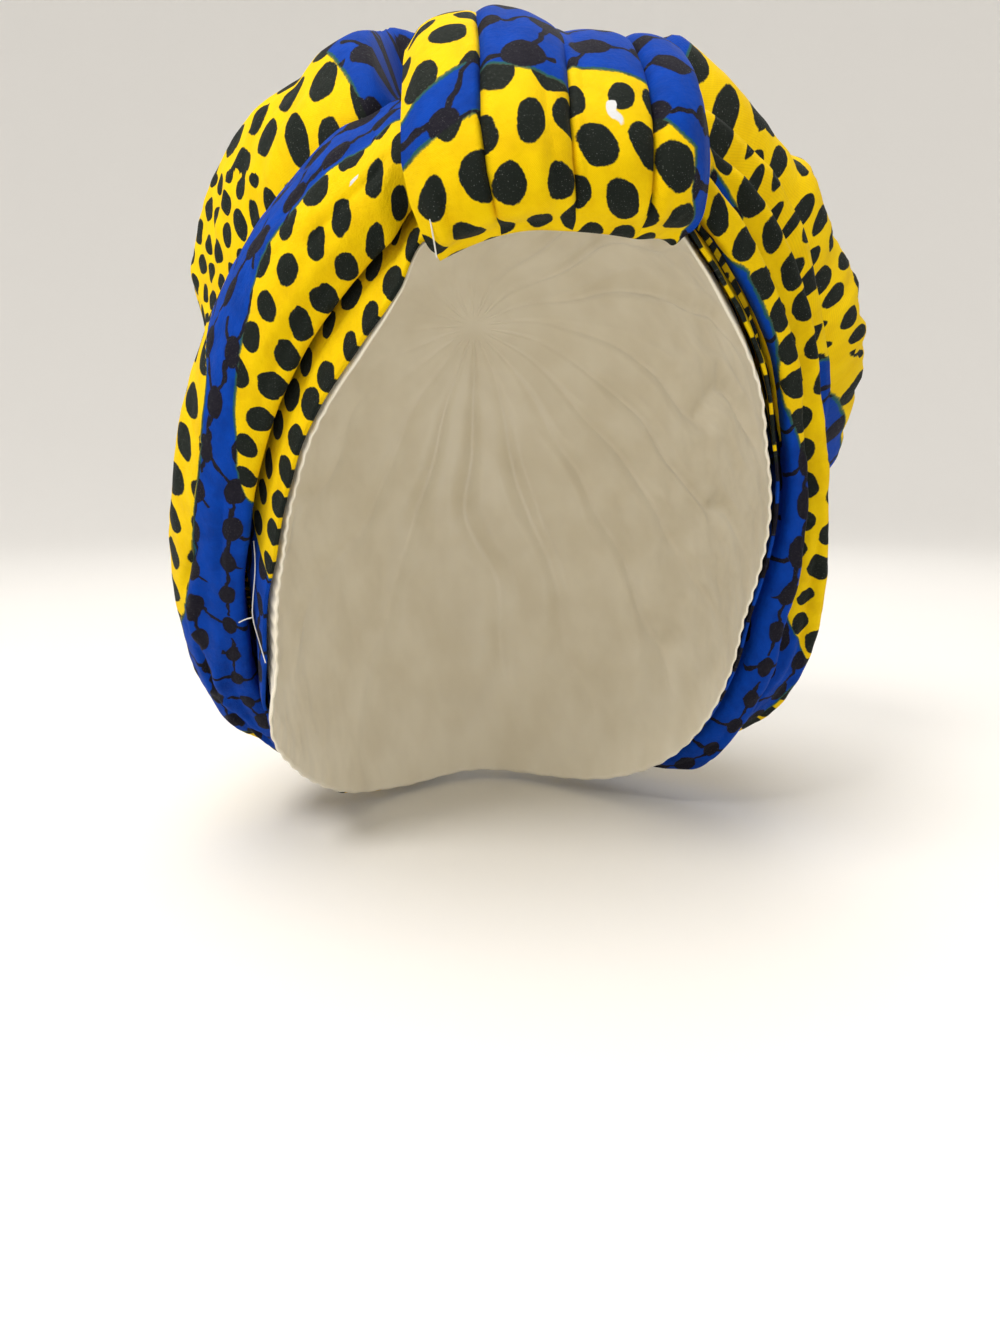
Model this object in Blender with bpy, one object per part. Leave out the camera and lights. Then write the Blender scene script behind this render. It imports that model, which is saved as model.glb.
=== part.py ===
"""A turban head wrap sewn from printed cotton, over a satin lining bag.

Metres, +Z up, the face looks along -Y. The origin is where the top of the head meets the lining.
Every cloth piece is a thin wall placed round the head by three numbers: the angle phi round the crown's
axis (0 at the forehead, 90 at the wearer's left temple, 180 at the nape), the distance s back from the
face edge towards the crown's pole, and the height h above the lining. Tables and constants are in
millimetres and degrees, and place() turns them into metres.
"""

import math

import bmesh
import bpy
import numpy as np

MM = 0.001

# The head that the lining fits, and the axis from the face opening to the crown's pole.
HEAD_CENTRE = np.array([0.0, 2.0, -95.0])
HEAD_RADII = np.array([78.0, 100.0, 95.0])
AXIS_TILT = math.radians(38)
AXIS = np.array([0.0, math.cos(AXIS_TILT), math.sin(AXIS_TILT)])
TOWARDS_FOREHEAD = np.array([0.0, -math.sin(AXIS_TILT), math.cos(AXIS_TILT)])
TOWARDS_LEFT_EAR = np.array([1.0, 0.0, 0.0])
MEAN_REACH = 92.0
RIM_PULL_POWER = 3
POLE_TAU = 4.0

# Cloth thicknesses, and the heights of the middle of each flat layer above the lining's inside.
LINING_WALL = 1.2
COTTON_WALL = 1.8
LINING_H = 0.6
BAND_H = 3.0
UNDER_H = 5.8
SEAM_GAP = 1.6
CROWN_SEAM_H = 3.2
BAND_EDGE_S = 1.0


def table(names, *rows):
    """A short table as a dict of columns."""
    return dict(zip(names.split(), np.array(rows, float).T))


# The face edge: its angle from the pole and reach from the head's centre, where the crown is sewn to the
# band, how high the band's gathers puff, where the lining starts and how far it flares there.
RIM = table(
    "phi     tau    reach seam_s puff lining_s flare",
    (-165.0, 102.0, 129.0, 42.0, 3.5, -1.5, 0.0),
    (-150.0, 110.5, 119.0, 42.0, 4.5, -3.0, 0.5),
    (-135.0, 115.5, 106.0, 43.0, 3.5, -7.0, 2.0),
    (-122.0, 118.5, 97.0, 43.0, 1.5, -9.0, 3.0),
    (-108.0, 121.0, 86.0, 43.0, 0.5, -5.0, 1.0),
    (-95.0, 120.8, 80.0, 43.0, 0.0, -2.5, 0.0),
    (-80.0, 120.5, 75.5, 43.0, 0.0, 0.6, 0.0),
    (-65.0, 118.0, 75.0, 43.0, 0.0, 1.0, 0.0),
    (-50.0, 114.0, 77.0, 43.0, 0.0, 1.0, 0.0),
    (-35.0, 111.2, 82.0, 43.0, 0.0, 1.0, 0.0),
    (-27.0, 110.0, 87.5, 42.3, 0.0, 1.4, 0.0),
    (-21.5, 107.8, 91.5, 41.4, 0.0, 2.2, 0.0),
    (-16.5, 102.9, 95.3, 40.6, 0.0, 2.6, 0.0),
    (0.0, 103.0, 102.0, 39.0, 0.0, 2.6, 0.0),
    (13.0, 101.2, 100.8, 36.0, 0.0, 2.6, 0.0),
    (20.0, 97.6, 99.0, 34.0, 0.0, 2.6, 0.0),
    (25.5, 99.6, 96.0, 33.7, 0.0, 0.8, 0.0),
    (35.0, 100.8, 91.0, 33.0, 0.0, -2.5, 0.0),
    (50.0, 103.0, 86.0, 34.0, 0.0, -2.5, 0.0),
    (65.0, 107.0, 82.5, 34.0, 0.0, -2.5, 0.0),
    (85.0, 113.0, 83.0, 34.0, 0.0, -3.0, 0.0),
    (100.0, 116.0, 85.0, 34.0, 0.0, -3.0, 0.0),
    (118.0, 117.0, 95.0, 34.0, 0.0, -2.0, 0.0),
    (135.0, 115.0, 108.0, 36.0, 0.5, -2.0, 0.0),
    (155.0, 107.5, 123.0, 40.0, 2.0, -1.5, 0.0),
    (180.0, 96.0, 132.0, 42.0, 3.0, -1.5, 0.0),
)

# The crown: the fold where it shows from under the cloth in front of it, the valley behind that fold, and
# how far the bag stands up behind them.
CROWN = table(
    "phi     fold_s fold_h valley_s valley_h full_s full_h",
    (-155.0, 47.0, 19.0, 60.0, 31.0, 88.0, 40.0),
    (-130.0, 50.0, 20.0, 63.0, 29.0, 90.0, 34.0),
    (-110.0, 55.0, 20.0, 68.0, 24.0, 92.0, 25.0),
    (-90.0, 60.0, 18.0, 72.0, 15.5, 94.0, 14.0),
    (-75.0, 62.0, 17.5, 73.0, 16.5, 94.0, 16.5),
    (-62.0, 61.0, 17.0, 72.0, 22.5, 92.0, 34.0),
    (-45.0, 57.0, 17.0, 68.0, 27.5, 90.0, 39.0),
    (-32.0, 52.5, 18.0, 63.0, 29.5, 88.0, 36.5),
    (-26.0, 50.5, 19.5, 61.0, 29.5, 87.0, 40.5),
    (-19.5, 48.0, 21.5, 58.0, 29.5, 86.0, 41.0),
    (-16.8, 46.0, 16.5, 78.0, 17.0, 92.0, 48.5),
    (0.0, 46.0, 16.8, 80.0, 16.8, 103.0, 38.0),
    (23.0, 42.0, 16.5, 79.0, 17.0, 93.0, 48.0),
    (27.5, 45.0, 28.0, 54.0, 28.0, 75.0, 53.0),
    (45.0, 46.0, 30.0, 54.0, 27.5, 71.0, 52.0),
    (62.0, 45.0, 29.5, 53.0, 28.0, 69.0, 54.5),
    (76.0, 45.0, 28.0, 53.0, 30.0, 67.0, 61.0),
    (90.0, 45.0, 25.0, 53.0, 34.0, 67.0, 58.0),
    (110.0, 45.0, 21.0, 54.0, 32.0, 71.0, 47.0),
    (130.0, 46.0, 20.0, 57.0, 31.0, 77.0, 42.0),
    (155.0, 46.0, 19.0, 60.0, 32.0, 84.0, 41.0),
    (180.0, 46.0, 18.0, 61.0, 32.0, 90.0, 41.0),
)
POLE_PUFF = 38.0
GATHERS = 15
GATHER_DEPTH = 1.3

# Soft ridges of the crown, each from one place to another, with its half width and height.
CROWN_FOLDS = table(
    "phi_from s_from phi_to s_to  width height",
    (26.0, 84.0, 60.0, 70.0, 7.0, 3.5),
    (50.0, 74.0, 74.0, 70.0, 6.0, 4.5),
    (30.0, 100.0, 84.0, 92.0, 8.0, 3.5),
    (-74.0, 84.0, -24.0, 88.0, 7.0, 3.0),
    (-66.0, 104.0, -26.0, 112.0, 8.0, 3.0),
    (-150.0, 80.0, -95.0, 72.0, 8.0, 3.0),
    (100.0, 84.0, 160.0, 92.0, 9.0, 3.5),
)

# The roll on the wearer's right: its front fold, its belly, and where it tucks down onto the crown.
RIGHT_ROLL = table(
    "phi     fold_s fold_h belly_s belly_h back_s back_h",
    (-179.6, 13.0, 9.5, 22.0, 13.5, 35.0, 15.0),
    (-165.0, 14.0, 10.0, 24.0, 17.0, 36.5, 18.0),
    (-152.0, 13.0, 10.0, 24.0, 22.0, 38.0, 21.0),
    (-140.0, 12.0, 9.5, 25.0, 26.0, 43.0, 24.5),
    (-125.0, 13.0, 9.5, 27.0, 28.5, 49.0, 26.0),
    (-110.0, 13.0, 9.5, 30.0, 27.0, 54.0, 25.0),
    (-95.0, 13.0, 9.0, 35.0, 25.0, 59.0, 23.0),
    (-80.0, 13.0, 9.0, 37.0, 22.5, 62.0, 21.0),
    (-65.0, 13.0, 9.0, 38.0, 21.5, 61.0, 20.0),
    (-50.0, 13.0, 8.5, 36.0, 21.5, 58.0, 19.5),
    (-35.0, 14.0, 8.5, 31.0, 22.0, 53.0, 20.0),
    (-25.0, 13.0, 8.5, 27.5, 22.0, 47.0, 21.0),
    (-18.0, 8.5, 8.5, 21.0, 18.5, 41.0, 18.5),
    (-1.0, 5.0, 8.0, 19.0, 17.0, 40.0, 17.0),
)

# The pleats on the wearer's left: a front fold and ridge, a valley, a second ridge, and the tuck.
LEFT_PLEATS = table(
    "phi    fold_s fold_h front_s front_h valley_s valley_h ridge_s ridge_h back_s back_h",
    (1.0, 5.0, 8.0, 9.0, 12.5, 15.0, 14.0, 21.0, 17.0, 36.0, 16.0),
    (18.0, 5.0, 8.0, 8.5, 13.0, 13.0, 12.5, 20.0, 17.5, 34.0, 13.0),
    (26.0, 4.0, 8.0, 7.5, 13.0, 12.0, 9.5, 18.0, 18.0, 30.5, 9.5),
    (38.0, 4.0, 7.5, 7.0, 12.0, 11.5, 8.5, 18.5, 19.0, 30.0, 9.5),
    (52.0, 4.5, 7.5, 7.5, 11.0, 11.5, 8.0, 18.5, 18.0, 30.0, 9.5),
    (66.0, 6.5, 7.5, 9.0, 11.0, 12.5, 8.5, 18.5, 17.0, 30.0, 9.5),
    (80.0, 8.5, 8.0, 10.5, 12.5, 14.0, 10.5, 19.0, 19.0, 30.0, 10.5),
    (95.0, 8.0, 8.5, 10.0, 15.0, 14.0, 13.5, 20.0, 25.5, 31.0, 15.0),
    (110.0, 6.0, 9.0, 8.0, 17.5, 12.5, 17.0, 20.0, 33.0, 33.0, 22.0),
    (125.0, 4.0, 9.0, 6.0, 19.0, 11.5, 19.5, 20.5, 37.0, 36.0, 27.0),
    (138.0, 4.0, 9.0, 6.0, 19.5, 12.0, 20.5, 22.0, 34.0, 38.0, 27.0),
    (152.0, 8.0, 9.5, 10.0, 14.5, 14.5, 16.0, 23.0, 24.0, 38.0, 22.0),
    (165.0, 12.0, 10.0, 13.5, 12.5, 17.5, 13.5, 24.0, 18.0, 37.0, 18.5),
    (179.6, 13.0, 9.5, 14.5, 11.0, 18.0, 12.0, 24.0, 14.0, 35.0, 15.0),
)

# The centre loop's path from inside the face edge, round the front, over the top and down to the crown,
# with how much lower its two sides lie than its middle, how far their edges turn down, and where those
# sides are.
LOOP_PATH = table(
    "s     h     side_drop edge_drop left  right",
    (10.0, -2.5, 0.0, 0.0, -22.0, 32.0),
    (3.0, -2.5, 0.0, 0.0, -24.0, 34.0),
    (-1.8, -1.8, 0.0, 0.0, -25.0, 35.0),
    (-3.3, 2.2, 0.3, 0.5, -26.5, 36.5),
    (-3.0, 8.0, 1.0, 1.5, -29.5, 38.0),
    (-0.2, 14.0, 1.5, 2.0, -32.5, 38.5),
    (5.0, 19.0, 2.0, 2.2, -34.0, 38.8),
    (12.0, 22.6, 2.0, 2.2, -33.5, 39.0),
    (20.0, 24.8, 1.8, 2.2, -32.5, 39.3),
    (30.0, 25.8, 1.2, 2.2, -31.5, 39.5),
    (42.0, 25.8, 0.8, 2.0, -30.0, 39.5),
    (54.0, 25.0, 0.6, 1.5, -28.5, 39.0),
    (65.0, 23.8, 0.3, 0.5, -27.0, 38.0),
    (72.0, 22.4, 0.0, 0.0, -26.0, 37.0),
    (75.0, 21.2, 0.0, 0.0, -25.5, 36.0),
)
# How far the loop follows the slope of the face edge under it, at its front and at its back.
LOOP_LEAN = (1.0, 0.4)
LOOP_LEAN_FADES = 45.0
LOOP_EDGE_TURN = 0.06
LOOP_TAIL = 22.0

# The loop's pleats: the share of its width where each one starts, and how high it stands there and at
# its end.
LOOP_PLEATS = table(
    "start from to",
    (0.0, 4.4, 4.2),
    (0.25, 5.0, 0.8),
    (0.52, -0.6, 2.2),
    (0.78, 3.2, 5.2),
)
PLEAT_CROWN = 1.4
PLEAT_STEP = 0.045

# Divisions of the meshes.
RING_STEPS = 48
CROWN_ROWS = 12
CROWN_ROWS_AT_SEAM = 0.35
LINING_ROWS = 7
BAND_ROWS = table(
    "share puff",
    (0.0, 0.7),
    (0.12, 1.0),
    (0.3, 0.1),
    (0.65, 0.0),
    (1.0, 0.0),
)
LINING_FLARE_S = 9.0
ROLL_STEPS = 27
ROLL_ROWS = 15
PLEAT_STEPS = 28
PLEAT_ROWS = 20
LOOP_ROWS = 17
LOOP_SHARES_PER_PLEAT = (0.0, 0.19, 0.45, 0.72, 0.97)

YELLOW = (0.93, 0.62, 0.01, 1.0)
BLUE = (0.005, 0.06, 0.42, 1.0)
SATIN = (0.78, 0.72, 0.58, 1.0)


def monotone(keys, values, at):
    """A smooth curve through the points (keys, values) that never overshoots them, read at each of at."""
    keys, values, at = np.asarray(keys), np.asarray(values), np.asarray(at, float)
    steps = np.diff(keys)
    slopes = np.diff(values) / steps
    tangents = np.zeros(len(keys))
    turning = slopes[:-1] * slopes[1:] <= 0
    with np.errstate(divide="ignore", invalid="ignore"):
        middle = 2 * slopes[:-1] * slopes[1:] / (slopes[:-1] + slopes[1:])
    tangents[1:-1] = np.where(turning, 0, middle)
    tangents[0], tangents[-1] = slopes[0], slopes[-1]
    cell = np.clip(np.searchsorted(keys, at) - 1, 0, len(steps) - 1)
    width = steps[cell]
    t = np.clip((at - keys[cell]) / width, 0, 1)
    return (
        values[cell] * (1 + 2 * t) * (1 - t) ** 2
        + values[cell + 1] * (3 - 2 * t) * t**2
        + tangents[cell] * width * t * (1 - t) ** 2
        - tangents[cell + 1] * width * t**2 * (1 - t)
    )


def round_ring(rows, name, phi):
    """A column of a table that goes all the way round, read at phi."""
    keys = np.concatenate([rows["phi"] - 360, rows["phi"], rows["phi"] + 360])
    return monotone(keys, np.tile(rows[name], 3), (np.asarray(phi, float) + 180) % 360 - 180)


def smoothstep(t):
    t = np.clip(t, 0, 1)
    return t * t * (3 - 2 * t)


def direction(phi, tau):
    phi, tau = np.radians(phi)[..., None], np.radians(tau)[..., None]
    across = TOWARDS_FOREHEAD * np.cos(phi) + TOWARDS_LEFT_EAR * np.sin(phi)
    return AXIS * np.cos(tau) + across * np.sin(tau)


def head_reach(ray):
    return 1 / np.linalg.norm(ray / HEAD_RADII, axis=-1)


def lining_reach(phi, tau):
    """The lining's inside: the head, drawn in or let out to the face edge as tau nears it."""
    rim_tau = round_ring(RIM, "tau", phi)
    pull = round_ring(RIM, "reach", phi) - head_reach(direction(phi, rim_tau))
    return head_reach(direction(phi, tau)) + pull * (tau / rim_tau) ** RIM_PULL_POWER


def tau_at(phi, s):
    return round_ring(RIM, "tau", phi) - np.degrees(s / MEAN_REACH)


def place_tau(phi, tau, h):
    ray = direction(phi, tau)
    return (HEAD_CENTRE + ray * (lining_reach(phi, tau) + h)[..., None]) * MM


def place(phi, s, h):
    """The point at angle phi, distance s from the face edge and height h above the lining, in metres."""
    phi, s, h = np.broadcast_arrays(np.asarray(phi, float), s, h)
    return place_tau(phi, tau_at(phi, s), h)


def smooth_section(points, count):
    """count points, evenly spaced along a smooth curve through the given (s, h) points."""
    points = np.array(points, float)
    ends = np.vstack([2 * points[0] - points[1], points, 2 * points[-1] - points[-2]])
    t = np.linspace(0, 1, 12, endpoint=False)[:, None]
    curve = [
        0.5 * (2 * b + (c - a) * t + (2 * a - 5 * b + 4 * c - d) * t**2 + (3 * b - a - 3 * c + d) * t**3)
        for a, b, c, d in zip(ends, ends[1:], ends[2:], ends[3:])
    ]
    curve = np.vstack([*curve, points[-1:]])
    length = np.concatenate([[0], np.cumsum(np.linalg.norm(np.diff(curve, axis=0), axis=1))])
    even = np.linspace(0, length[-1], count)
    return np.stack([np.interp(even, length, curve[:, k]) for k in (0, 1)], axis=-1)


def ring_angles():
    """Angles all round, with extra ones at the loop's two sides, where the crown steps up."""
    plain = np.arange(35, 326, 360 / RING_STEPS)
    return np.concatenate([[-26, -19.5, -16.8, -10, 0, 10, 18, 23, 27.5], plain]) % 360


def crown_height(phi, tau):
    """How far the crown stands above the lining."""
    seam = tau_at(phi, round_ring(RIM, "seam_s", phi) + SEAM_GAP)
    fold, valley, full = (tau_at(phi, round_ring(CROWN, name, phi)) for name in ("fold_s", "valley_s", "full_s"))
    fold_h, valley_h, full_h = (round_ring(CROWN, name, phi) for name in ("fold_h", "valley_h", "full_h"))
    height = np.empty_like(tau)
    for i in range(len(phi)):
        keys = [0, full[i] * 0.5, full[i], valley[i], fold[i], seam[i]]
        values = [POLE_PUFF, (POLE_PUFF + full_h[i]) / 2 + 1, full_h[i], valley_h[i], fold_h[i], CROWN_SEAM_H]
        height[i] = monotone(keys, values, tau[i])
    return height


def crown_folds(phi, s):
    """The soft ridges and the gathers at the seam, as extra height."""
    phi = (phi + 180) % 360 - 180
    extra = np.zeros_like(s)
    for start, s0, end, s1, width, height in zip(*CROWN_FOLDS.values()):
        along = (phi - start) / (end - start)
        ends = smoothstep(along * 5) * smoothstep((1 - along) * 5)
        across = (s - s0 - (s1 - s0) * np.clip(along, 0, 1)) / width
        extra += height * ends * np.exp(-(across**2))
    behind = smoothstep((np.abs(phi) - 40) / 40)
    near_seam = smoothstep((s - 48) / 12) * smoothstep((120 - s) / 50)
    return extra + GATHER_DEPTH * np.sin(np.radians(phi * GATHERS)) * near_seam * behind


def ring_to_pole(rows, seam_s, rows_at_seam=1.0):
    """A grid of (phi, tau) from the seam to the pole, whose rows may crowd towards the seam."""
    phi = ring_angles()
    start = tau_at(phi, seam_s)
    share = np.linspace(0, 1, rows + 1)
    share = rows_at_seam * share + (1 - rows_at_seam) * share**2
    tau = start[:, None] + (POLE_TAU - start)[:, None] * share
    return np.broadcast_to(phi[:, None], tau.shape), tau


def distance_back(phi, tau):
    return np.radians(round_ring(RIM, "tau", phi) - tau) * MEAN_REACH


def crown_grid():
    seam_s = round_ring(RIM, "seam_s", ring_angles()) + SEAM_GAP
    phi, tau = ring_to_pole(CROWN_ROWS, seam_s, CROWN_ROWS_AT_SEAM)
    height = crown_height(phi[:, 0], tau) + crown_folds(phi, distance_back(phi, tau))
    return place_tau(phi, tau, height)


def lining_grid():
    phi, tau = ring_to_pole(LINING_ROWS, np.full(ring_angles().shape, 1 + LINING_FLARE_S))
    edge_s = round_ring(RIM, "lining_s", phi[:, 0])
    edge = tau_at(phi[:, :2], np.stack([edge_s, (edge_s + LINING_FLARE_S + 1) / 2], axis=1))
    phi, tau = np.hstack([phi[:, :2], phi]), np.hstack([edge, tau])
    flare = round_ring(RIM, "flare", phi) * smoothstep(-distance_back(phi, tau) / LINING_FLARE_S)
    return place_tau(phi, tau, LINING_H + flare)


def band_grid():
    phi = ring_angles()[:, None]
    s = BAND_EDGE_S + (round_ring(RIM, "seam_s", phi) - BAND_EDGE_S) * BAND_ROWS["share"]
    return place(phi, s, BAND_H + round_ring(RIM, "puff", phi) * BAND_ROWS["puff"])


def fold_grid(rows, steps, count, section):
    """A strip that runs along phi, whose cross-section is worked out at each angle."""
    angles = np.linspace(rows["phi"][0], rows["phi"][-1], steps)
    strip = []
    for phi in angles:
        sizes = {name: monotone(rows["phi"], rows[name], [phi])[0] for name in rows}
        curve = smooth_section(section(sizes), count)
        strip.append(place(phi, curve[:, 0], curve[:, 1]))
    return np.array(strip)


def roll_section(z):
    return [
        (z["fold_s"] + 20, UNDER_H),
        (z["fold_s"] + 8, UNDER_H),
        (z["fold_s"] + 1.5, UNDER_H + 0.6),
        (z["fold_s"], z["fold_h"]),
        (z["fold_s"] * 0.6 + z["belly_s"] * 0.4, z["fold_h"] * 0.28 + z["belly_h"] * 0.72),
        (z["belly_s"], z["belly_h"]),
        (z["back_s"] - 5, z["back_h"] * 0.85 + z["belly_h"] * 0.15),
        (z["back_s"], z["back_h"]),
    ]


def pleat_section(z):
    return [
        (z["fold_s"] + 15, UNDER_H),
        (z["fold_s"] + 6, UNDER_H),
        (z["fold_s"], z["fold_h"]),
        (z["front_s"], z["front_h"]),
        (z["valley_s"], z["valley_h"]),
        (z["ridge_s"], z["ridge_h"]),
        ((z["ridge_s"] + z["back_s"]) / 2, z["ridge_h"] * 0.72 + z["back_h"] * 0.28),
        (z["back_s"], z["back_h"]),
    ]


def pleat_height(share):
    """The loop's pleats across its width: each one is crowned, and steps up or down at its start."""
    starts = np.append(LOOP_PLEATS["start"], 1.0)
    pleat = np.clip(np.searchsorted(starts, share, side="right") - 1, 0, len(LOOP_PLEATS["start"]) - 1)
    within = (share - starts[pleat]) / (starts[pleat + 1] - starts[pleat])
    blend = np.where(pleat > 0, smoothstep((share - starts[pleat]) / PLEAT_STEP), 1)
    own = LOOP_PLEATS["from"][pleat] + (LOOP_PLEATS["to"][pleat] - LOOP_PLEATS["from"][pleat]) * within
    before = LOOP_PLEATS["to"][np.maximum(pleat - 1, 0)]
    return before + (own - before) * blend + PLEAT_CROWN * (1 - (2 * within - 1) ** 2)


def loop_columns():
    """Shares of the loop's width, close together where a pleat starts."""
    starts = np.append(LOOP_PLEATS["start"], 1.0)
    spread = np.array(LOOP_SHARES_PER_PLEAT)
    columns = [a + (b - a) * spread for a, b in zip(starts, starts[1:])]
    return np.append(np.concatenate(columns), 1.0)


def loop_grid():
    share = loop_columns()[:, None]
    path = np.stack([LOOP_PATH["s"], LOOP_PATH["h"]], axis=-1)
    curve = smooth_section(path, LOOP_ROWS)
    length = np.concatenate([[0], np.cumsum(np.linalg.norm(np.diff(path, axis=0), axis=1))])
    along = np.linspace(0, length[-1], LOOP_ROWS)
    drop, edge_drop, left, right = (
        np.interp(along, length, LOOP_PATH[name]) for name in ("side_drop", "edge_drop", "left", "right")
    )
    tangent = np.gradient(curve, axis=0)
    outward = np.stack([-tangent[:, 1], tangent[:, 0]], axis=-1)
    outward /= np.linalg.norm(outward, axis=1)[:, None]
    tail = smoothstep((LOOP_PATH["s"][-1] - curve[:, 0]) / LOOP_TAIL)
    outside = smoothstep((curve[:, 1] - 1) / 8) * tail
    side = 1 - smoothstep(np.minimum(share, 1 - share) / LOOP_EDGE_TURN)
    sides = drop * np.abs(2 * share - 1) ** 2 + edge_drop * side
    raised = outside * (pleat_height(share) - sides)
    s = curve[:, 0] + outward[:, 0] * raised
    h = curve[:, 1] + outward[:, 1] * raised
    tau = tau_at(0.0, s)
    reach = (lining_reach(np.zeros(s.shape), tau) + h) * np.sin(np.radians(tau))
    phi = np.degrees((left + (right - left) * share) / reach)
    front = smoothstep((LOOP_LEAN_FADES - s) / LOOP_LEAN_FADES)
    lean = LOOP_LEAN[1] + (LOOP_LEAN[0] - LOOP_LEAN[1]) * front
    lean = lean * (round_ring(RIM, "tau", phi) - round_ring(RIM, "tau", 0.0))
    return place_tau(phi, tau + lean, h)


def cloth_material(name, colour, roughness, sheen):
    material = bpy.data.materials.new(name)
    material.use_nodes = True
    surface = material.node_tree.nodes["Principled BSDF"]
    surface.inputs["Base Color"].default_value = colour
    surface.inputs["Roughness"].default_value = roughness
    surface.inputs["Metallic"].default_value = 0.0
    surface.inputs["Sheen Weight"].default_value = sheen
    material.diffuse_color = colour
    return material


def cloth_wall(name, grid, wall, material, ring=False, pole=False):
    """A thin closed wall from a grid of its middle surface, which may go all round and close at the pole."""
    mesh = bpy.data.meshes.new(name)
    shape = bmesh.new()
    columns = [[shape.verts.new(p) for p in column] for column in grid]
    pairs = list(zip(columns, columns[1:]))
    if ring:
        pairs.append((columns[-1], columns[0]))
    for left, right in pairs:
        for a, b, c, d in zip(left, right, right[1:], left[1:]):
            shape.faces.new((a, b, c, d))
    if pole:
        top = shape.verts.new(np.mean([column[-1] for column in grid], axis=0))
        for left, right in pairs:
            shape.faces.new((left[-1], right[-1], top))
    bmesh.ops.recalc_face_normals(shape, faces=shape.faces)
    shape.to_mesh(mesh)
    shape.free()
    mesh.shade_smooth()
    mesh.materials.append(material)
    cloth = bpy.data.objects.new(name, mesh)
    bpy.context.collection.objects.link(cloth)
    solid = cloth.modifiers.new("wall", "SOLIDIFY")
    solid.thickness = wall * MM
    solid.offset = 0.0
    solid.use_even_offset = True
    return cloth


def main():
    for old in list(bpy.data.objects):
        bpy.data.objects.remove(old)
    satin = cloth_material("lining_satin", SATIN, 0.35, 0.2)
    printed = cloth_material("printed_cotton", YELLOW, 0.75, 0.1)
    blue = cloth_material("printed_cotton_blue", BLUE, 0.75, 0.1)
    cloth_wall("lining", lining_grid(), LINING_WALL, satin, ring=True, pole=True)
    cloth_wall("face_band", band_grid(), COTTON_WALL, printed, ring=True)
    cloth_wall("crown", crown_grid(), COTTON_WALL, printed, ring=True, pole=True)
    cloth_wall("right_roll", fold_grid(RIGHT_ROLL, ROLL_STEPS, ROLL_ROWS, roll_section), COTTON_WALL, blue)
    cloth_wall("left_pleats", fold_grid(LEFT_PLEATS, PLEAT_STEPS, PLEAT_ROWS, pleat_section), COTTON_WALL, blue)
    cloth_wall("centre_loop", loop_grid(), COTTON_WALL, printed)


main()
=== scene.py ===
"""A turban head wrap in printed cotton with a satin lining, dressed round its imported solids.

Metres, +Z up, the face looks along -Y. Tables are in millimetres and degrees. Every cloth is placed by the
angle phi round the crown's axis, the distance s back from the face edge and the height h above the lining.
"""

import math

import bpy
import numpy as np
from mathutils import Matrix, Vector

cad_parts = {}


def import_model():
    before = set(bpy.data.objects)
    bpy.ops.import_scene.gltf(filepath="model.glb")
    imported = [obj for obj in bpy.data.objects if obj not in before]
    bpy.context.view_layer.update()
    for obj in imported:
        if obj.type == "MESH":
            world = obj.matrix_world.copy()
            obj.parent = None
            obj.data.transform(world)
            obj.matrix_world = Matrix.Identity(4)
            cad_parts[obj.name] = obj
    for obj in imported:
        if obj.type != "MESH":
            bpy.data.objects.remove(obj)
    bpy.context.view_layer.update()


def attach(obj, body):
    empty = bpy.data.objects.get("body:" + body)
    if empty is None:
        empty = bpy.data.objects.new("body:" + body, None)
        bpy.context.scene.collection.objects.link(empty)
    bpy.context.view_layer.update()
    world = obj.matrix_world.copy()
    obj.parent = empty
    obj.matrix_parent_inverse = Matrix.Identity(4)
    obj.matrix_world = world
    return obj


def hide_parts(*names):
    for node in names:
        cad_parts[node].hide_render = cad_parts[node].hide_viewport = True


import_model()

MM = 0.001

# The head that the lining fits, and the axis from the face opening to the crown's pole.
HEAD_CENTRE = np.array([0.0, 2.0, -95.0])
HEAD_RADII = np.array([78.0, 100.0, 95.0])
AXIS_TILT = math.radians(38)
AXIS = np.array([0.0, math.cos(AXIS_TILT), math.sin(AXIS_TILT)])
TOWARDS_FOREHEAD = np.array([0.0, -math.sin(AXIS_TILT), math.cos(AXIS_TILT)])
TOWARDS_LEFT_EAR = np.array([1.0, 0.0, 0.0])
MEAN_REACH = 92.0
RIM_PULL_POWER = 3
POLE_TAU = 4.0

# Sizes that the solids have too: heights of the layers, and where the seams and the satin's flare are.
LINING_H = 0.6
BAND_H = 3.0
UNDER_H = 5.8
SEAM_GAP = 1.6
CROWN_SEAM_H = 3.2
BAND_EDGE_S = 1.0
LINING_FLARE_S = 9.0

SATIN_WALL = 0.7
COTTON_WALL = 1.0
THREAD_RADIUS, THREAD_LENGTH = 0.00018, 0.0385  # metres

# Millimetres along the cloth for each degree of phi.
ROLL_DEGREE = 1.9
CROWN_DEGREE = 2.0


def table(names, *rows):
    """A short table as a dict of columns."""
    return dict(zip(names.split(), np.array(rows, float).T))


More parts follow.
